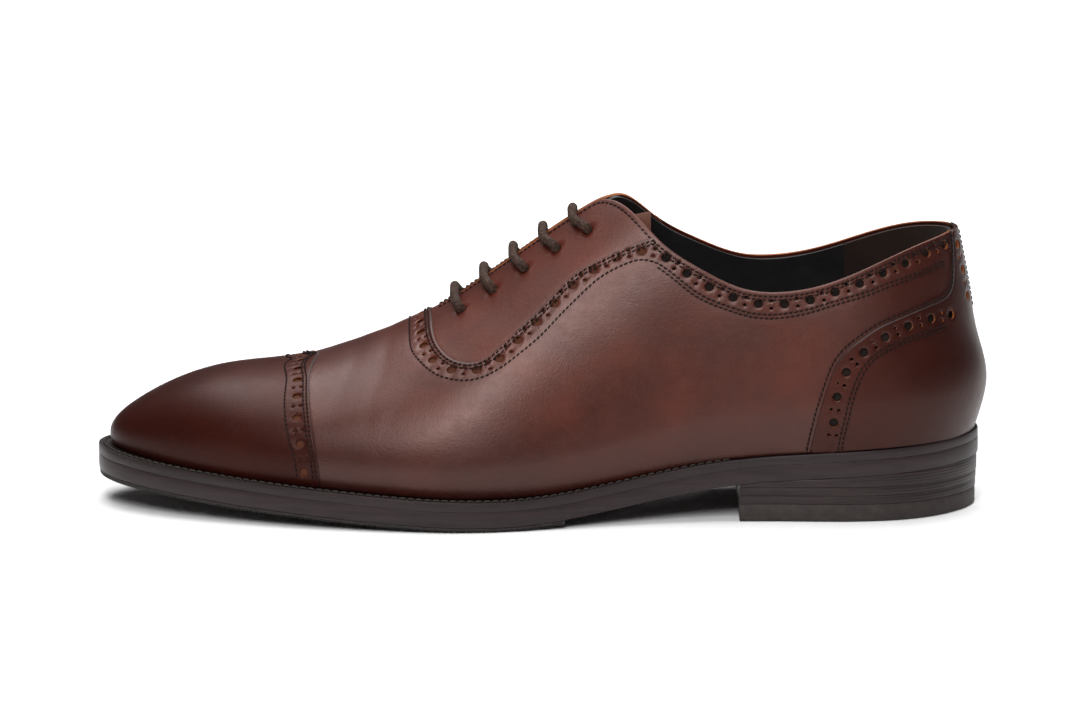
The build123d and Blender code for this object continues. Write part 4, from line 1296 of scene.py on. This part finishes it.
for side, name in ((LATERAL, "lateral"), (MEDIAL, "medial")):
    top = BODY.flat(top_line(41.5, 131.0, side, 1.3))
    back_line = upright(131.5, top[-1, 1], np.interp(131.5, *foot[side].T), 30)
    sole = foot[side][(foot[side][:, 0] > -45) & (foot[side][:, 0] < 131)]
    hem = facing_row[side]
    hem = hem[(hem[:, 0] < 38) & (np.abs(hem[:, 1]) > 2)]
    ply_loop = joined(hem, top, back_line[1:-1], sole[::-1])
    piece = panel(f"visual_interlining_{name}", BODY, ply_loop, [PLY_DARK, PLY_DARK], (), -1.36, -1.84,
                  spacing=3.0, edge=0.1)
    settle(piece, "shoe", "hidden_ply", f"quarter_interlining_{name}")

vamp_foot = {side: foot[side][(foot[side][:, 0] > -91) & (foot[side][:, 0] < -39.2)] for side in SIDES}
lining_back = upright(-39.0, vamp_foot[MEDIAL][-1, 1], vamp_foot[LATERAL][-1, 1], 40)
lining_front = upright(-91.0, vamp_foot[LATERAL][0, 1], vamp_foot[MEDIAL][0, 1], 40)
vamp_lining_loop = joined(vamp_foot[MEDIAL], lining_back[1:-1], vamp_foot[LATERAL][::-1], lining_front[1:-1])
piece = panel("visual_vamp_lining", BODY, vamp_lining_loop, [LINING, RAW_EDGE], (), LINING_TOP, LINING_FLOOR,
              spacing=3.0, edge=0.3)
settle(piece, "shoe", "lining_leather", "vamp_lining")

grip_x = LINING_BACK - 0.4
grip_edge = {}
for side in SIDES:
    high = float(topline(grip_x, side)) - 0.8
    z = np.linspace(float(seat_z(grip_x)) + 1.0, high, 60)
    x = np.full(len(z), grip_x)
    grip_edge[side] = BACK.flat(np.stack([x, skin_y(x, z, side), z], 1))
grip_top = {side: BACK.flat(top_line(grip_x, 143.0, side, 0.75)) for side in SIDES}
grip_low = np.linspace(grip_edge[MEDIAL][0, 0], grip_edge[LATERAL][0, 0], 60)
grip_low_x = BACK.AXIS + 38 * np.cos(grip_low / BACK.RADIUS)
grip_low = np.stack([grip_low, seat_z(np.clip(grip_low_x, 80, 152)) + 1.0], 1)
grip_loop = joined(grip_edge[LATERAL], grip_top[LATERAL][1:], grip_top[MEDIAL][::-1][:-1],
                   grip_edge[MEDIAL][::-1], grip_low[1:-1])
grip = panel("visual_heel_grip", BACK, grip_loop, [GRIP, RAW_EDGE], (), LINING_TOP, LINING_FLOOR - 0.15,
             spacing=2.0, edge=0.3, relief=lambda flat, points: undulate(points, 0.15))
settle(grip, "shoe", "grip_suede", "heel_grip")

# ---- tubes ---------------------------------------------------------------------------------------
def tube(name, path, radius, material, sides=14, ends=True, swell=None, start_normal=(0, 0, 1)):
    """A round cord along a path; swell gives its relief from the run and the turn round it."""
    way = np.gradient(path, axis=0)
    way /= np.linalg.norm(way, axis=1)[:, None]
    run = run_length(path)
    normal = np.array(start_normal, float)
    frames_at = []
    for direction in way:
        normal = normal - direction * (normal @ direction)
        normal /= np.linalg.norm(normal)
        frames_at.append((normal, np.cross(direction, normal)))
    angle = np.arange(sides) * 2 * pi / sides
    vertices = []
    for k, (first, second) in enumerate(frames_at):
        size = radius * np.ones(sides) if np.isscalar(radius) else np.full(sides, radius[k])
        if swell is not None:
            size = size + swell(run[k], angle)
        ring = np.outer(np.cos(angle), first) + np.outer(np.sin(angle), second)
        vertices.append(path[k] + size[:, None] * ring)
    faces = []
    for k in range(len(path) - 1):
        for s in range(sides):
            t = (s + 1) % sides
            faces.append([k * sides + s, k * sides + t, (k + 1) * sides + t, (k + 1) * sides + s])
    if ends:
        faces.append(list(range(sides))[::-1])
        faces.append([(len(path) - 1) * sides + s for s in range(sides)])
    return new_object(name, np.concatenate(vertices), faces, [material], smooth_angle=60)


def lathe(profile, plane_point, axis, sides=24):
    """A closed profile of (radius, height) turned round an axis: points and faces."""
    first = np.cross(axis, [1.0, 0, 0])
    first /= np.linalg.norm(first)
    second = np.cross(axis, first)
    angle = np.arange(sides) * 2 * pi / sides
    round_it = np.outer(np.cos(angle), first) + np.outer(np.sin(angle), second)
    vertices = np.concatenate([plane_point + r * round_it + h * axis for r, h in profile])
    rings = len(profile)
    faces = []
    for k in range(rings):
        n = (k + 1) % rings
        for s in range(sides):
            t = (s + 1) % sides
            faces.append([k * sides + s, k * sides + t, n * sides + t, n * sides + s])
    return vertices, faces


EYELET_PROFILE = [(1.72, -1.1), (1.92, -1.0), (2.02, -1.2), (2.05, -3.0), (2.3, -3.15), (3.2, -3.2),
                  (3.45, -3.4), (3.2, -3.6), (2.2, -3.6), (1.8, -3.4), (1.7, -3.0)]
for side, name in ((LATERAL, "lateral"), (MEDIAL, "medial")):
    vertices, faces, count = [], [], 0
    for row in range(EYELETS):
        place, axis = eyelet(row, side)
        some, some_faces = lathe(EYELET_PROFILE, place, axis)
        vertices.append(some)
        faces += [[i + count for i in face] for face in some_faces]
        count += len(some)
    ring = new_object(f"visual_eyelets_{name}", np.concatenate(vertices), faces, [BRASS])
    settle(ring, "shoe", "eyelet_metal", f"eyelets_{name}")

# ---- lace ----------------------------------------------------------------------------------------
LACE_OUT, LACE_IN, ASIDE = 1.9, 6.1, 3.8


def bar(row, sign):
    x = EYELET_FIRST + EYELET_PITCH * row - 1 - 0.75 * row
    half = 2.6 + 0.9 * row
    middle = {way: (half + EYELET_SIDE[way] - SIDE_STEP * row) / 2 for way in SIDES}

    def over(way, out):
        return skin_point(x, float(ridge_y(x)) + way * out, LACE_OUT + 0.2)[0]

    return [eyelet(row, sign, LACE_OUT)[0], over(sign, middle[sign]), over(sign, half),
            over(-sign, half), over(-sign, middle[-sign]), eyelet(row, -sign, LACE_OUT)[0]]


def beneath(row, sign, aside_by=0.0):
    return eyelet(row, sign, -LACE_IN, aside_by)[0]


def tucked_end(sign, start_x):
    first = EYELET_SIDE[sign] + 2.4
    ends = [(start_x - 6, first), (start_x - 17, first + 2.2), (start_x - 28, first + 3)]
    return [skin_point(x, float(ridge_y(x)) + sign * out, -LACE_IN)[0] for x, out in ends]


L, M = LATERAL, MEDIAL
lateral_end = tucked_end(L, EYELET_FIRST + 3 * EYELET_PITCH)
medial_end = tucked_end(M, EYELET_FIRST + 4 * EYELET_PITCH)
route = [*reversed(lateral_end),
         beneath(3, L), *bar(3, L), beneath(3, M), beneath(2, M, -ASIDE), beneath(1, M),
         *bar(1, M), beneath(1, L), beneath(0, L),
         *bar(0, L), beneath(0, M), beneath(1, M, ASIDE), beneath(2, M),
         *bar(2, M), beneath(2, L), beneath(3, L, -ASIDE), beneath(4, L),
         *bar(4, L), beneath(4, M),
         *medial_end]
lace_path = even_path(np.array(route), 0.35)
for _ in range(14):
    lace_path[1:-1] = lace_path[1:-1] * 0.5 + (lace_path[:-2] + lace_path[2:]) * 0.25
lace_path = even_path(lace_path, 0.3)
BRAID_PITCH = 4.6


def braid_relief(run, angle):
    """Two sets of strands that cross."""
    one = np.cos(4 * angle + 2 * pi * run / BRAID_PITCH * 2)
    other = np.cos(4 * angle - 2 * pi * run / BRAID_PITCH * 2)
    return 0.09 * np.maximum(one, other) - 0.07


lace = tube("visual_lace", lace_path, LACE_RADIUS, LACE_CORD, sides=32, swell=braid_relief)
settle(lace, "shoe", "lace_cord", "lace")

aglet_runs = [lace_path[:48], lace_path[-48:]]
aglet_parts, aglet_faces, count = [], [], 0
for run_points in aglet_runs:
    size = np.full(len(run_points), LACE_RADIUS + 0.12)
    part = tube("aglet_part", run_points, size, AGLET, sides=20)
    aglet_parts.append(np.array([v.co for v in part.data.vertices]) / MM)
    aglet_faces += [[i + count for i in polygon.vertices] for polygon in part.data.polygons]
    count += len(part.data.vertices)
    bpy.data.objects.remove(part)
aglets = new_object("visual_aglets", np.concatenate(aglet_parts), aglet_faces, [AGLET])
settle(aglets, "shoe", "aglet_metal", "aglets")

# ---- tongue --------------------------------------------------------------------------------------
TONGUE_START, TONGUE_END = -57.5, 37.6
tongue_drop = natural_spline([(-58, 6), (-49, 7.2), (-36, 11.2), (10, 11.8), (24, 13.4), (38, 17)])
tongue_pinch = natural_spline([(-58, 6), (-49, 6.8), (-36, 9), (10, 10.3), (24, 9.4), (38, 6)])
tongue_share = natural_spline([(-58, 0.3), (-46, 0.55), (-20, 0.72), (10, 0.8), (38, 0.86)])


def tongue_point(x, share, depth):
    reach = np.where(share < 0, lateral_reach(x), medial_reach(x))
    width = np.abs(reach - ridge_y(x)) - tongue_pinch(x) - depth
    crest = ridge_z(x) - tongue_drop(x) - depth
    arch = (1 - np.abs(share) ** width_power(x)) ** (1 / rise_power(x))
    return np.stack([x, ridge_y(x) + share * width, wide_z(x) + (crest - wide_z(x)) * arch], -1)


def tongue_sheet(name, top, bottom, material):
    rows, columns = 120, 72
    x = np.linspace(TONGUE_START, TONGUE_END, rows)[:, None] * np.ones(columns)
    limit = tongue_share(x)
    round_end = np.sqrt(np.clip(1 - np.clip((x - (TONGUE_END - 9)) / 9.3, 0, 1) ** 2, 0, 1))
    across = np.linspace(-1, 1, columns)[None, :] * limit * (0.72 + 0.28 * round_end)
    rim = np.maximum(np.abs(np.linspace(-1, 1, columns))[None, :] - 0.97, 0) / 0.03
    end = np.clip((x - (TONGUE_END - 0.8)) / 0.8, 0, 1)
    soft = 0.45 * (top != bottom) * np.maximum(rim**2, end**2)
    ripple = 0.12 * np.sin(x / 4.3 + 3 * across) * np.sin(7 * across)
    upper = tongue_point(x, across, top + soft + ripple * (top == 0) + 0.12)
    lower = tongue_point(x, across, bottom - soft * 0.5)
    count = rows * columns
    faces = []
    for i in range(rows - 1):
        for j in range(columns - 1):
            a, b = i * columns + j, (i + 1) * columns + j
            faces.append([a, b, b + 1, a + 1])
            faces.append([a + 1 + count, b + 1 + count, b + count, a + count])
    for i in range(rows - 1):
        for j, flip in ((0, False), (columns - 1, True)):
            a, b = i * columns + j, (i + 1) * columns + j
            face = [a, a + count, b + count, b]
            faces.append(face[::-1] if flip else face)
    for j in range(columns - 1):
        for i, flip in ((0, True), (rows - 1, False)):
            a = i * columns + j
            face = [a, a + count, a + 1 + count, a + 1]
            faces.append(face[::-1] if flip else face)
    vertices = np.concatenate([upper.reshape(-1, 3), lower.reshape(-1, 3)])
    return new_object(name, vertices, faces, [material], smooth_angle=50)


tongue = tongue_sheet("visual_tongue", 0.0, 1.4, TONGUE_SUEDE)
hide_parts("tongue")
tongue_back = tongue_sheet("visual_tongue_lining", 1.45, 2.3, LINING)
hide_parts("tongue_lining")
for piece in (tongue, tongue_back):
    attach(piece, "tongue")

# ---- bottom --------------------------------------------------------------------------------------


def sole_outline(inset, low_x=None, high_x=None):
    """The sole from above, set in from its edge, cut straight across at low_x or high_x."""
    share = (1 - np.cos(np.linspace(0, pi, 500))) / 2
    x = SOLE_TOE + share * (SOLE_HEEL - SOLE_TOE)
    middle = (sole_lateral(x) + sole_medial(x)) / 2
    width = (sole_medial(x) - sole_lateral(x)) / 2
    width = width - inset * width / (width + 2)
    x = SOLE_TOE + inset + share * (SOLE_HEEL - SOLE_TOE - 2 * inset)
    lateral = np.stack([x, middle - width], 1)
    medial = np.stack([x, middle + width], 1)
    low_x = SOLE_TOE - 1 if low_x is None else low_x
    high_x = SOLE_HEEL + 1 if high_x is None else high_x

    def cut(line):
        keep = line[(line[:, 0] >= low_x) & (line[:, 0] <= high_x)]
        ends = []
        for limit, first in ((low_x, True), (high_x, False)):
            if line[0, 0] < limit < line[-1, 0]:
                ends.append((first, [limit, np.interp(limit, line[:, 0], line[:, 1])]))
        for first, point in ends:
            keep = np.vstack([[point], keep]) if first else np.vstack([keep, [point]])
        return keep

    return cut(lateral), cut(medial)


def grid_inside(loop, step, clear):
    """Points of a square grid inside an outline and clear of its edge."""
    low, high = loop.min(0), loop.max(0)
    across, along = np.meshgrid(np.arange(low[0], high[0], step), np.arange(low[1], high[1], step))
    grid = np.stack([across.ravel(), along.ravel()], 1)
    grid = grid[inside_loop(grid, loop)]
    return grid[edge_distance(grid, loop) > clear]


def closed_outline(inset, low_x=None, high_x=None, step=1.0):
    lateral, medial = sole_outline(inset, low_x, high_x)
    corner = np.concatenate([lateral, medial[::-1]])
    return even_path(corner, step, closed=True)


def inward_normals(loop, closed):
    ahead = np.roll(loop, -1, axis=0) - np.roll(loop, 1, axis=0)
    if not closed:
        ahead = np.gradient(loop, axis=0)
    ahead /= np.linalg.norm(ahead, axis=1)[:, None]
    inward = np.stack([-ahead[:, 1], ahead[:, 0]], 1)
    test = loop + inward * 2
    if np.abs(test[:, 1]).mean() > np.abs(loop[:, 1]).mean():
        inward = -inward
    return inward


def faces_inside(points, faces, loop):
    """The triangles whose middles lie inside an outline."""
    middles = np.array([points[list(face)].mean(0) for face in faces])
    return [face for face, kept in zip(faces, inside_loop(middles, loop)) if kept]


def wall_ripple(run, inset):
    """Small unevenness of an edge that was trimmed and burnished by hand."""
    return 0.06 * np.sin(run / 5.3) * np.sin(run / 3.1 + 1) if inset < 0.6 else 0 * run


def plate(name, inset, low, high, materials, low_x=None, high_x=None, soft=0.4, soft_top=None, teeth=0.0,
          bulge=0.0, rim=6.0, step=1.0):
    """A layer of the bottom between two heights over the ground, with a soft edge."""
    loop = closed_outline(inset, low_x, high_x, step)
    inward = inward_normals(loop, True)
    run = run_length(np.vstack([loop, loop[:1]]))[:-1]
    crown = soft if soft_top is None else soft_top
    profile = [(rim, 1.0, 0.0), (crown, 1.0, 0.0), (crown * 0.3, 1.0, -crown * 0.3), (0.0, 1.0, -crown),
               (-bulge, 0.5, 0.0), (0.0, 0.0, soft), (soft * 0.3, 0.0, soft * 0.3), (soft, 0.0, 0.0),
               (rim, 0.0, 0.0)]
    rings = []
    for depth, share, lift in profile:
        place = loop + inward * (depth + wall_ripple(run, depth))[:, None]
        bottom = low(place[:, 0]) if callable(low) else np.full(len(place), float(low))
        top = high(place[:, 0]) if callable(high) else np.full(len(place), float(high))
        z = bottom + (top - bottom) * share + lift
        if teeth and share == 0.0 and depth < rim:
            z = z + teeth * (0.5 + 0.5 * np.clip(2.2 * np.sin(2 * pi * run / 1.05), -1, 1))
        rings.append(np.column_stack([place, z]))
    count, vertices, faces = len(loop), list(rings), []
    for k in range(len(rings) - 1):
        for s in range(count):
            t = (s + 1) % count
            faces.append([k * count + s, (k + 1) * count + s, (k + 1) * count + t, k * count + t])
    total = len(rings) * count
    for ring_index, share, flip in ((0, 1.0, False), (len(rings) - 1, 0.0, True)):
        ring = rings[ring_index][:, :2]
        flat = np.concatenate([ring, grid_inside(ring, 3.0, 1.4)])
        order = list(range(count))
        if turned_left(ring) is not ring:
            order = order[::-1]
        cdt = delaunay_2d_cdt([Vector(p) for p in flat.tolist()], [], [order], 1, 1e-5, True)
        out = np.array([tuple(v) for v in cdt[0]])
        index = []
        bottom = low(out[:, 0]) if callable(low) else np.full(len(out), float(low))
        top = high(out[:, 0]) if callable(high) else np.full(len(out), float(high))
        z = bottom + (top - bottom) * share
        for k, ids in enumerate(cdt[3]):
            own = [i for i in ids if i < count]
            index.append(ring_index * count + own[0] if own else total)
            if not own:
                vertices.append(np.array([[out[k, 0], out[k, 1], z[k]]]))
                total += 1
        for face in faces_inside(out, cdt[2], ring):
            a, b, c = (out[i] for i in face)
            turn = (b[0] - a[0]) * (c[1] - a[1]) - (b[1] - a[1]) * (c[0] - a[0])
            face = [index[i] for i in face]
            if (turn > 0) == flip:
                face = face[::-1]
            faces.append(face)
    return new_object(name, np.concatenate(vertices), faces, materials, smooth_angle=38)


def strip(name, inset, low_offset, high_offset, material, low_x=None, high_x=None, width=7.0, soft=0.45,
          swell=0.0):
    """A band round the edge of the sole that follows the seat, open across its straight cut."""
    lateral, medial = sole_outline(inset, low_x, high_x)
    if high_x is not None:
        path = even_path(joined(lateral[::-1], medial), 0.8)
    else:
        path = even_path(joined(lateral, medial[::-1]), 0.8)
    inward = inward_normals(path, False)
    run = run_length(path)
    profile = [(width, high_offset), (1.2, high_offset), (0.55, high_offset + swell),
               (soft * 0.4, high_offset + swell * 0.4), (0.0, high_offset - soft), (0.0, low_offset + 0.06),
               (0.02, low_offset + 0.02), (0.06, low_offset), (width, low_offset)]
    rings = []
    for depth, offset_z in profile:
        place = path + inward * (depth + wall_ripple(run, depth))[:, None]
        z = seat_z(place[:, 0]) + offset_z
        rings.append(np.column_stack([place, z]))
    count = len(path)
    faces = []
    for k in range(len(rings)):
        n = (k + 1) % len(rings)
        for s in range(count - 1):
            faces.append([k * count + s, n * count + s, n * count + s + 1, k * count + s + 1])
    faces.append([k * count for k in range(len(rings))])
    faces.append([k * count + count - 1 for k in range(len(rings))][::-1])
    return new_object(name, np.concatenate(rings), faces, [material], smooth_angle=38), path, inward


def over_seat(offset_z):
    return lambda x: seat_z(x) + offset_z


welt, welt_path, welt_inward = strip("visual_welt", 0, -WELT + LAYER_GAP, 0.0, WELT_EDGE, None,
                                      HEEL_BREAST, swell=0.18)
settle(welt, "shoe", "sole_leather", "welt")
rand, _, _ = strip("visual_heel_rand", 0, -WELT + LAYER_GAP, 0.0, WELT_EDGE, HEEL_BREAST + 0.1, None)
settle(rand, "shoe", "sole_leather", "heel_rand")

welt_threads = Threads()
seam = welt_path + welt_inward * 1.9
seam3 = np.column_stack([seam, seat_z(seam[:, 0])])
up = np.tile([0.0, 0, 1], (len(seam3), 1))
welt_threads.row(seam3[4:-4], up[4:-4], 0.12, pitch=2.9, gap=0.5, radius=0.42, crown=0.2, slant=0.12)
welt_seam = welt_threads.finish("visual_welt_stitches", WELT_THREAD)
settle(welt_seam, "shoe", "sole_leather")

outsole = plate("visual_outsole", 0.0, over_seat(-WELT - OUTSOLE), over_seat(-WELT), [SOLE_EDGE], soft=0.45,
                soft_top=0.06, bulge=0.05)
settle(outsole, "shoe", "sole_leather", "outsole")
tread = plate("visual_tread", 0.3, over_seat(-WELT - OUTSOLE - TREAD), over_seat(-WELT - OUTSOLE - LAYER_GAP),
              [TREAD_RUBBER], None, 8.0, soft=0.12, teeth=0.8, step=0.26)
settle(tread, "shoe", "sole_rubber", "tread")
top_piece = plate("visual_heel_top_piece", 0.9, 0.0, TOP_PIECE, [HEEL_RUBBER], HEEL_BREAST, None,
                  soft=0.3, bulge=0.05)
settle(top_piece, "shoe", "sole_rubber", "heel_top_piece")
LIFTS = (
    ("lower", 0.75, TOP_PIECE + LAYER_GAP, TOP_PIECE + LIFT),
    ("middle", 0.6, TOP_PIECE + LIFT + LAYER_GAP, TOP_PIECE + 2 * LIFT),
    ("upper", 0.4, TOP_PIECE + 2 * LIFT + LAYER_GAP, over_seat(-WELT - OUTSOLE - LAYER_GAP)))
for name, inset, low, high in LIFTS:
    lift = plate(f"visual_heel_lift_{name}", inset, low, high, [HEEL_EDGE], HEEL_BREAST, None,
                 soft=0.16, bulge=0.04)
    settle(lift, "shoe", "sole_leather", f"heel_lift_{name}")

# ---- inside: insole and sock liner ---------------------------------------------------------------
CAVITY = 3.3


def insole_plate(name, inset, low, high, material, low_x):
    x = low_x + (148.6 - low_x) * (1 - np.cos(np.linspace(0, pi, 160))) / 2
    z = seat_z(x) + 3.5
    sides = []
    for side in SIDES:
        width = half_width(x, z, np.full(len(x), side)) - inset
        sides.append(np.stack([x, ridge_y(x) + side * np.maximum(width, 0.4)], 1))
    loop = turned_left(even_path(np.concatenate([sides[0], sides[1][::-1]]), 2.0, closed=True))
    flat = np.concatenate([loop, grid_inside(loop, 4.0, 2.0)])
    cdt = delaunay_2d_cdt([Vector(p) for p in flat.tolist()], [], [list(range(len(loop)))], 1, 1e-5, False)
    out = np.array([tuple(v) for v in cdt[0]])
    away = edge_distance(out, loop)
    top = seat_z(out[:, 0]) + high - 0.3 * np.clip(1 - away / 1.5, 0, 1)
    bottom = seat_z(out[:, 0]) + low
    count = len(out)
    faces, directed = [], set()
    for face in faces_inside(out, cdt[2], loop):
        a, b, c = (out[i] for i in face)
        if (b[0] - a[0]) * (c[1] - a[1]) - (b[1] - a[1]) * (c[0] - a[0]) < 0:
            face = face[::-1]
        faces.append(list(face))
        directed |= {(face[0], face[1]), (face[1], face[2]), (face[2], face[0])}
    faces += [[i + count for i in face[::-1]] for face in faces]
    faces += [[j, i, i + count, j + count] for i, j in directed if (j, i) not in directed]
    vertices = np.concatenate([np.column_stack([out, top]), np.column_stack([out, bottom])])
    return new_object(name, vertices, faces, [material])


sock = insole_plate("visual_sock_liner", CAVITY + 0.3, 3.2, 4.15, LINING, -59.5)
settle(sock, "shoe", "lining_leather", "sock_liner")

# ---- plies that stay hidden keep their CAD shape and take a finish of their own ------------------
HIDDEN = {
    "toe_puff": BOARD, "heel_stiffener": BOARD, "vamp_interlining": PLY_DARK,
    "insole": INSOLE, "insole_rib": INSOLE, "cork_filler": CORK, "shank": STEEL, "heel_nails": BRASS,
    "top_piece_nails": BRASS}
for node, material in HIDDEN.items():
    piece = frame["nodes"][node]
    piece.data.materials.clear()
    piece.data.materials.append(material)

# ---- studio --------------------------------------------------------------------------------------
scene = bpy.context.scene
floor_mesh = bpy.data.meshes.new("floor")
FLOOR_HALF, FLOOR_Z = 6, -0.0002
corners = [(FLOOR_HALF * x, FLOOR_HALF * y, FLOOR_Z) for x, y in ((-1, -1), (1, -1), (1, 1), (-1, 1))]
floor_mesh.from_pydata(corners, [], [(0, 1, 2, 3)])
floor = bpy.data.objects.new("floor", floor_mesh)
scene.collection.objects.link(floor)
paper = Shader("paper", (0.93, 0.93, 0.93), 0.9, 0.1)
paper.colour(paper.ramp(paper.noise(30, 2), [(0.3, (0.925, 0.925, 0.925)), (0.7, (0.935, 0.935, 0.935))]))
floor_mesh.materials.append(paper.material)

world = bpy.data.worlds.new("studio")
world.use_nodes = True
world.node_tree.nodes["Background"].inputs["Color"].default_value = (1, 1, 1, 1)
world.node_tree.nodes["Background"].inputs["Strength"].default_value = 0.06
scene.world = world


def soft_light(name, place, target, size, size_y, power):
    light = bpy.data.lights.new(name, "AREA")
    light.shape = "RECTANGLE"
    light.size = size
    light.size_y = size_y
    light.energy = power
    lamp = bpy.data.objects.new(name, light)
    lamp.location = place
    lamp.rotation_mode = "QUATERNION"
    lamp.rotation_quaternion = (Vector(target) - Vector(place)).to_track_quat("-Z", "Y")
    scene.collection.objects.link(lamp)


soft_light("top box", (0.0, 0.6, 1.5), (0, 0.6, 0), 1.6, 2.2, 46)
soft_light("front box", (-0.12, -1.05, 0.95), (0, 0, 0.05), 0.45, 0.7, 13.5)
soft_light("back box", (0.9, 1.1, 0.5), (0.05, 0, 0.05), 0.5, 0.5, 2.5)

CAMERA_DISTANCE = 2.7
SENSOR = 36.0
ELEVATION = radians(12)
FRAME_WIDTH = 0.37435
AIM = Vector((-0.0006, 0.0, 0.0497))
camera_data = bpy.data.cameras.new("camera")
camera_data.sensor_width = SENSOR
camera_data.lens = SENSOR * CAMERA_DISTANCE / FRAME_WIDTH
camera = bpy.data.objects.new("camera", camera_data)
back = Vector((0, -cos(ELEVATION), sin(ELEVATION)))
camera.location = AIM + back * CAMERA_DISTANCE
camera.rotation_mode = "QUATERNION"
camera.rotation_quaternion = (-back).to_track_quat("-Z", "Y")
camera_data.clip_start, camera_data.clip_end = 0.1, 20
scene.collection.objects.link(camera)
scene.camera = camera
scene.view_settings.view_transform = "Standard"
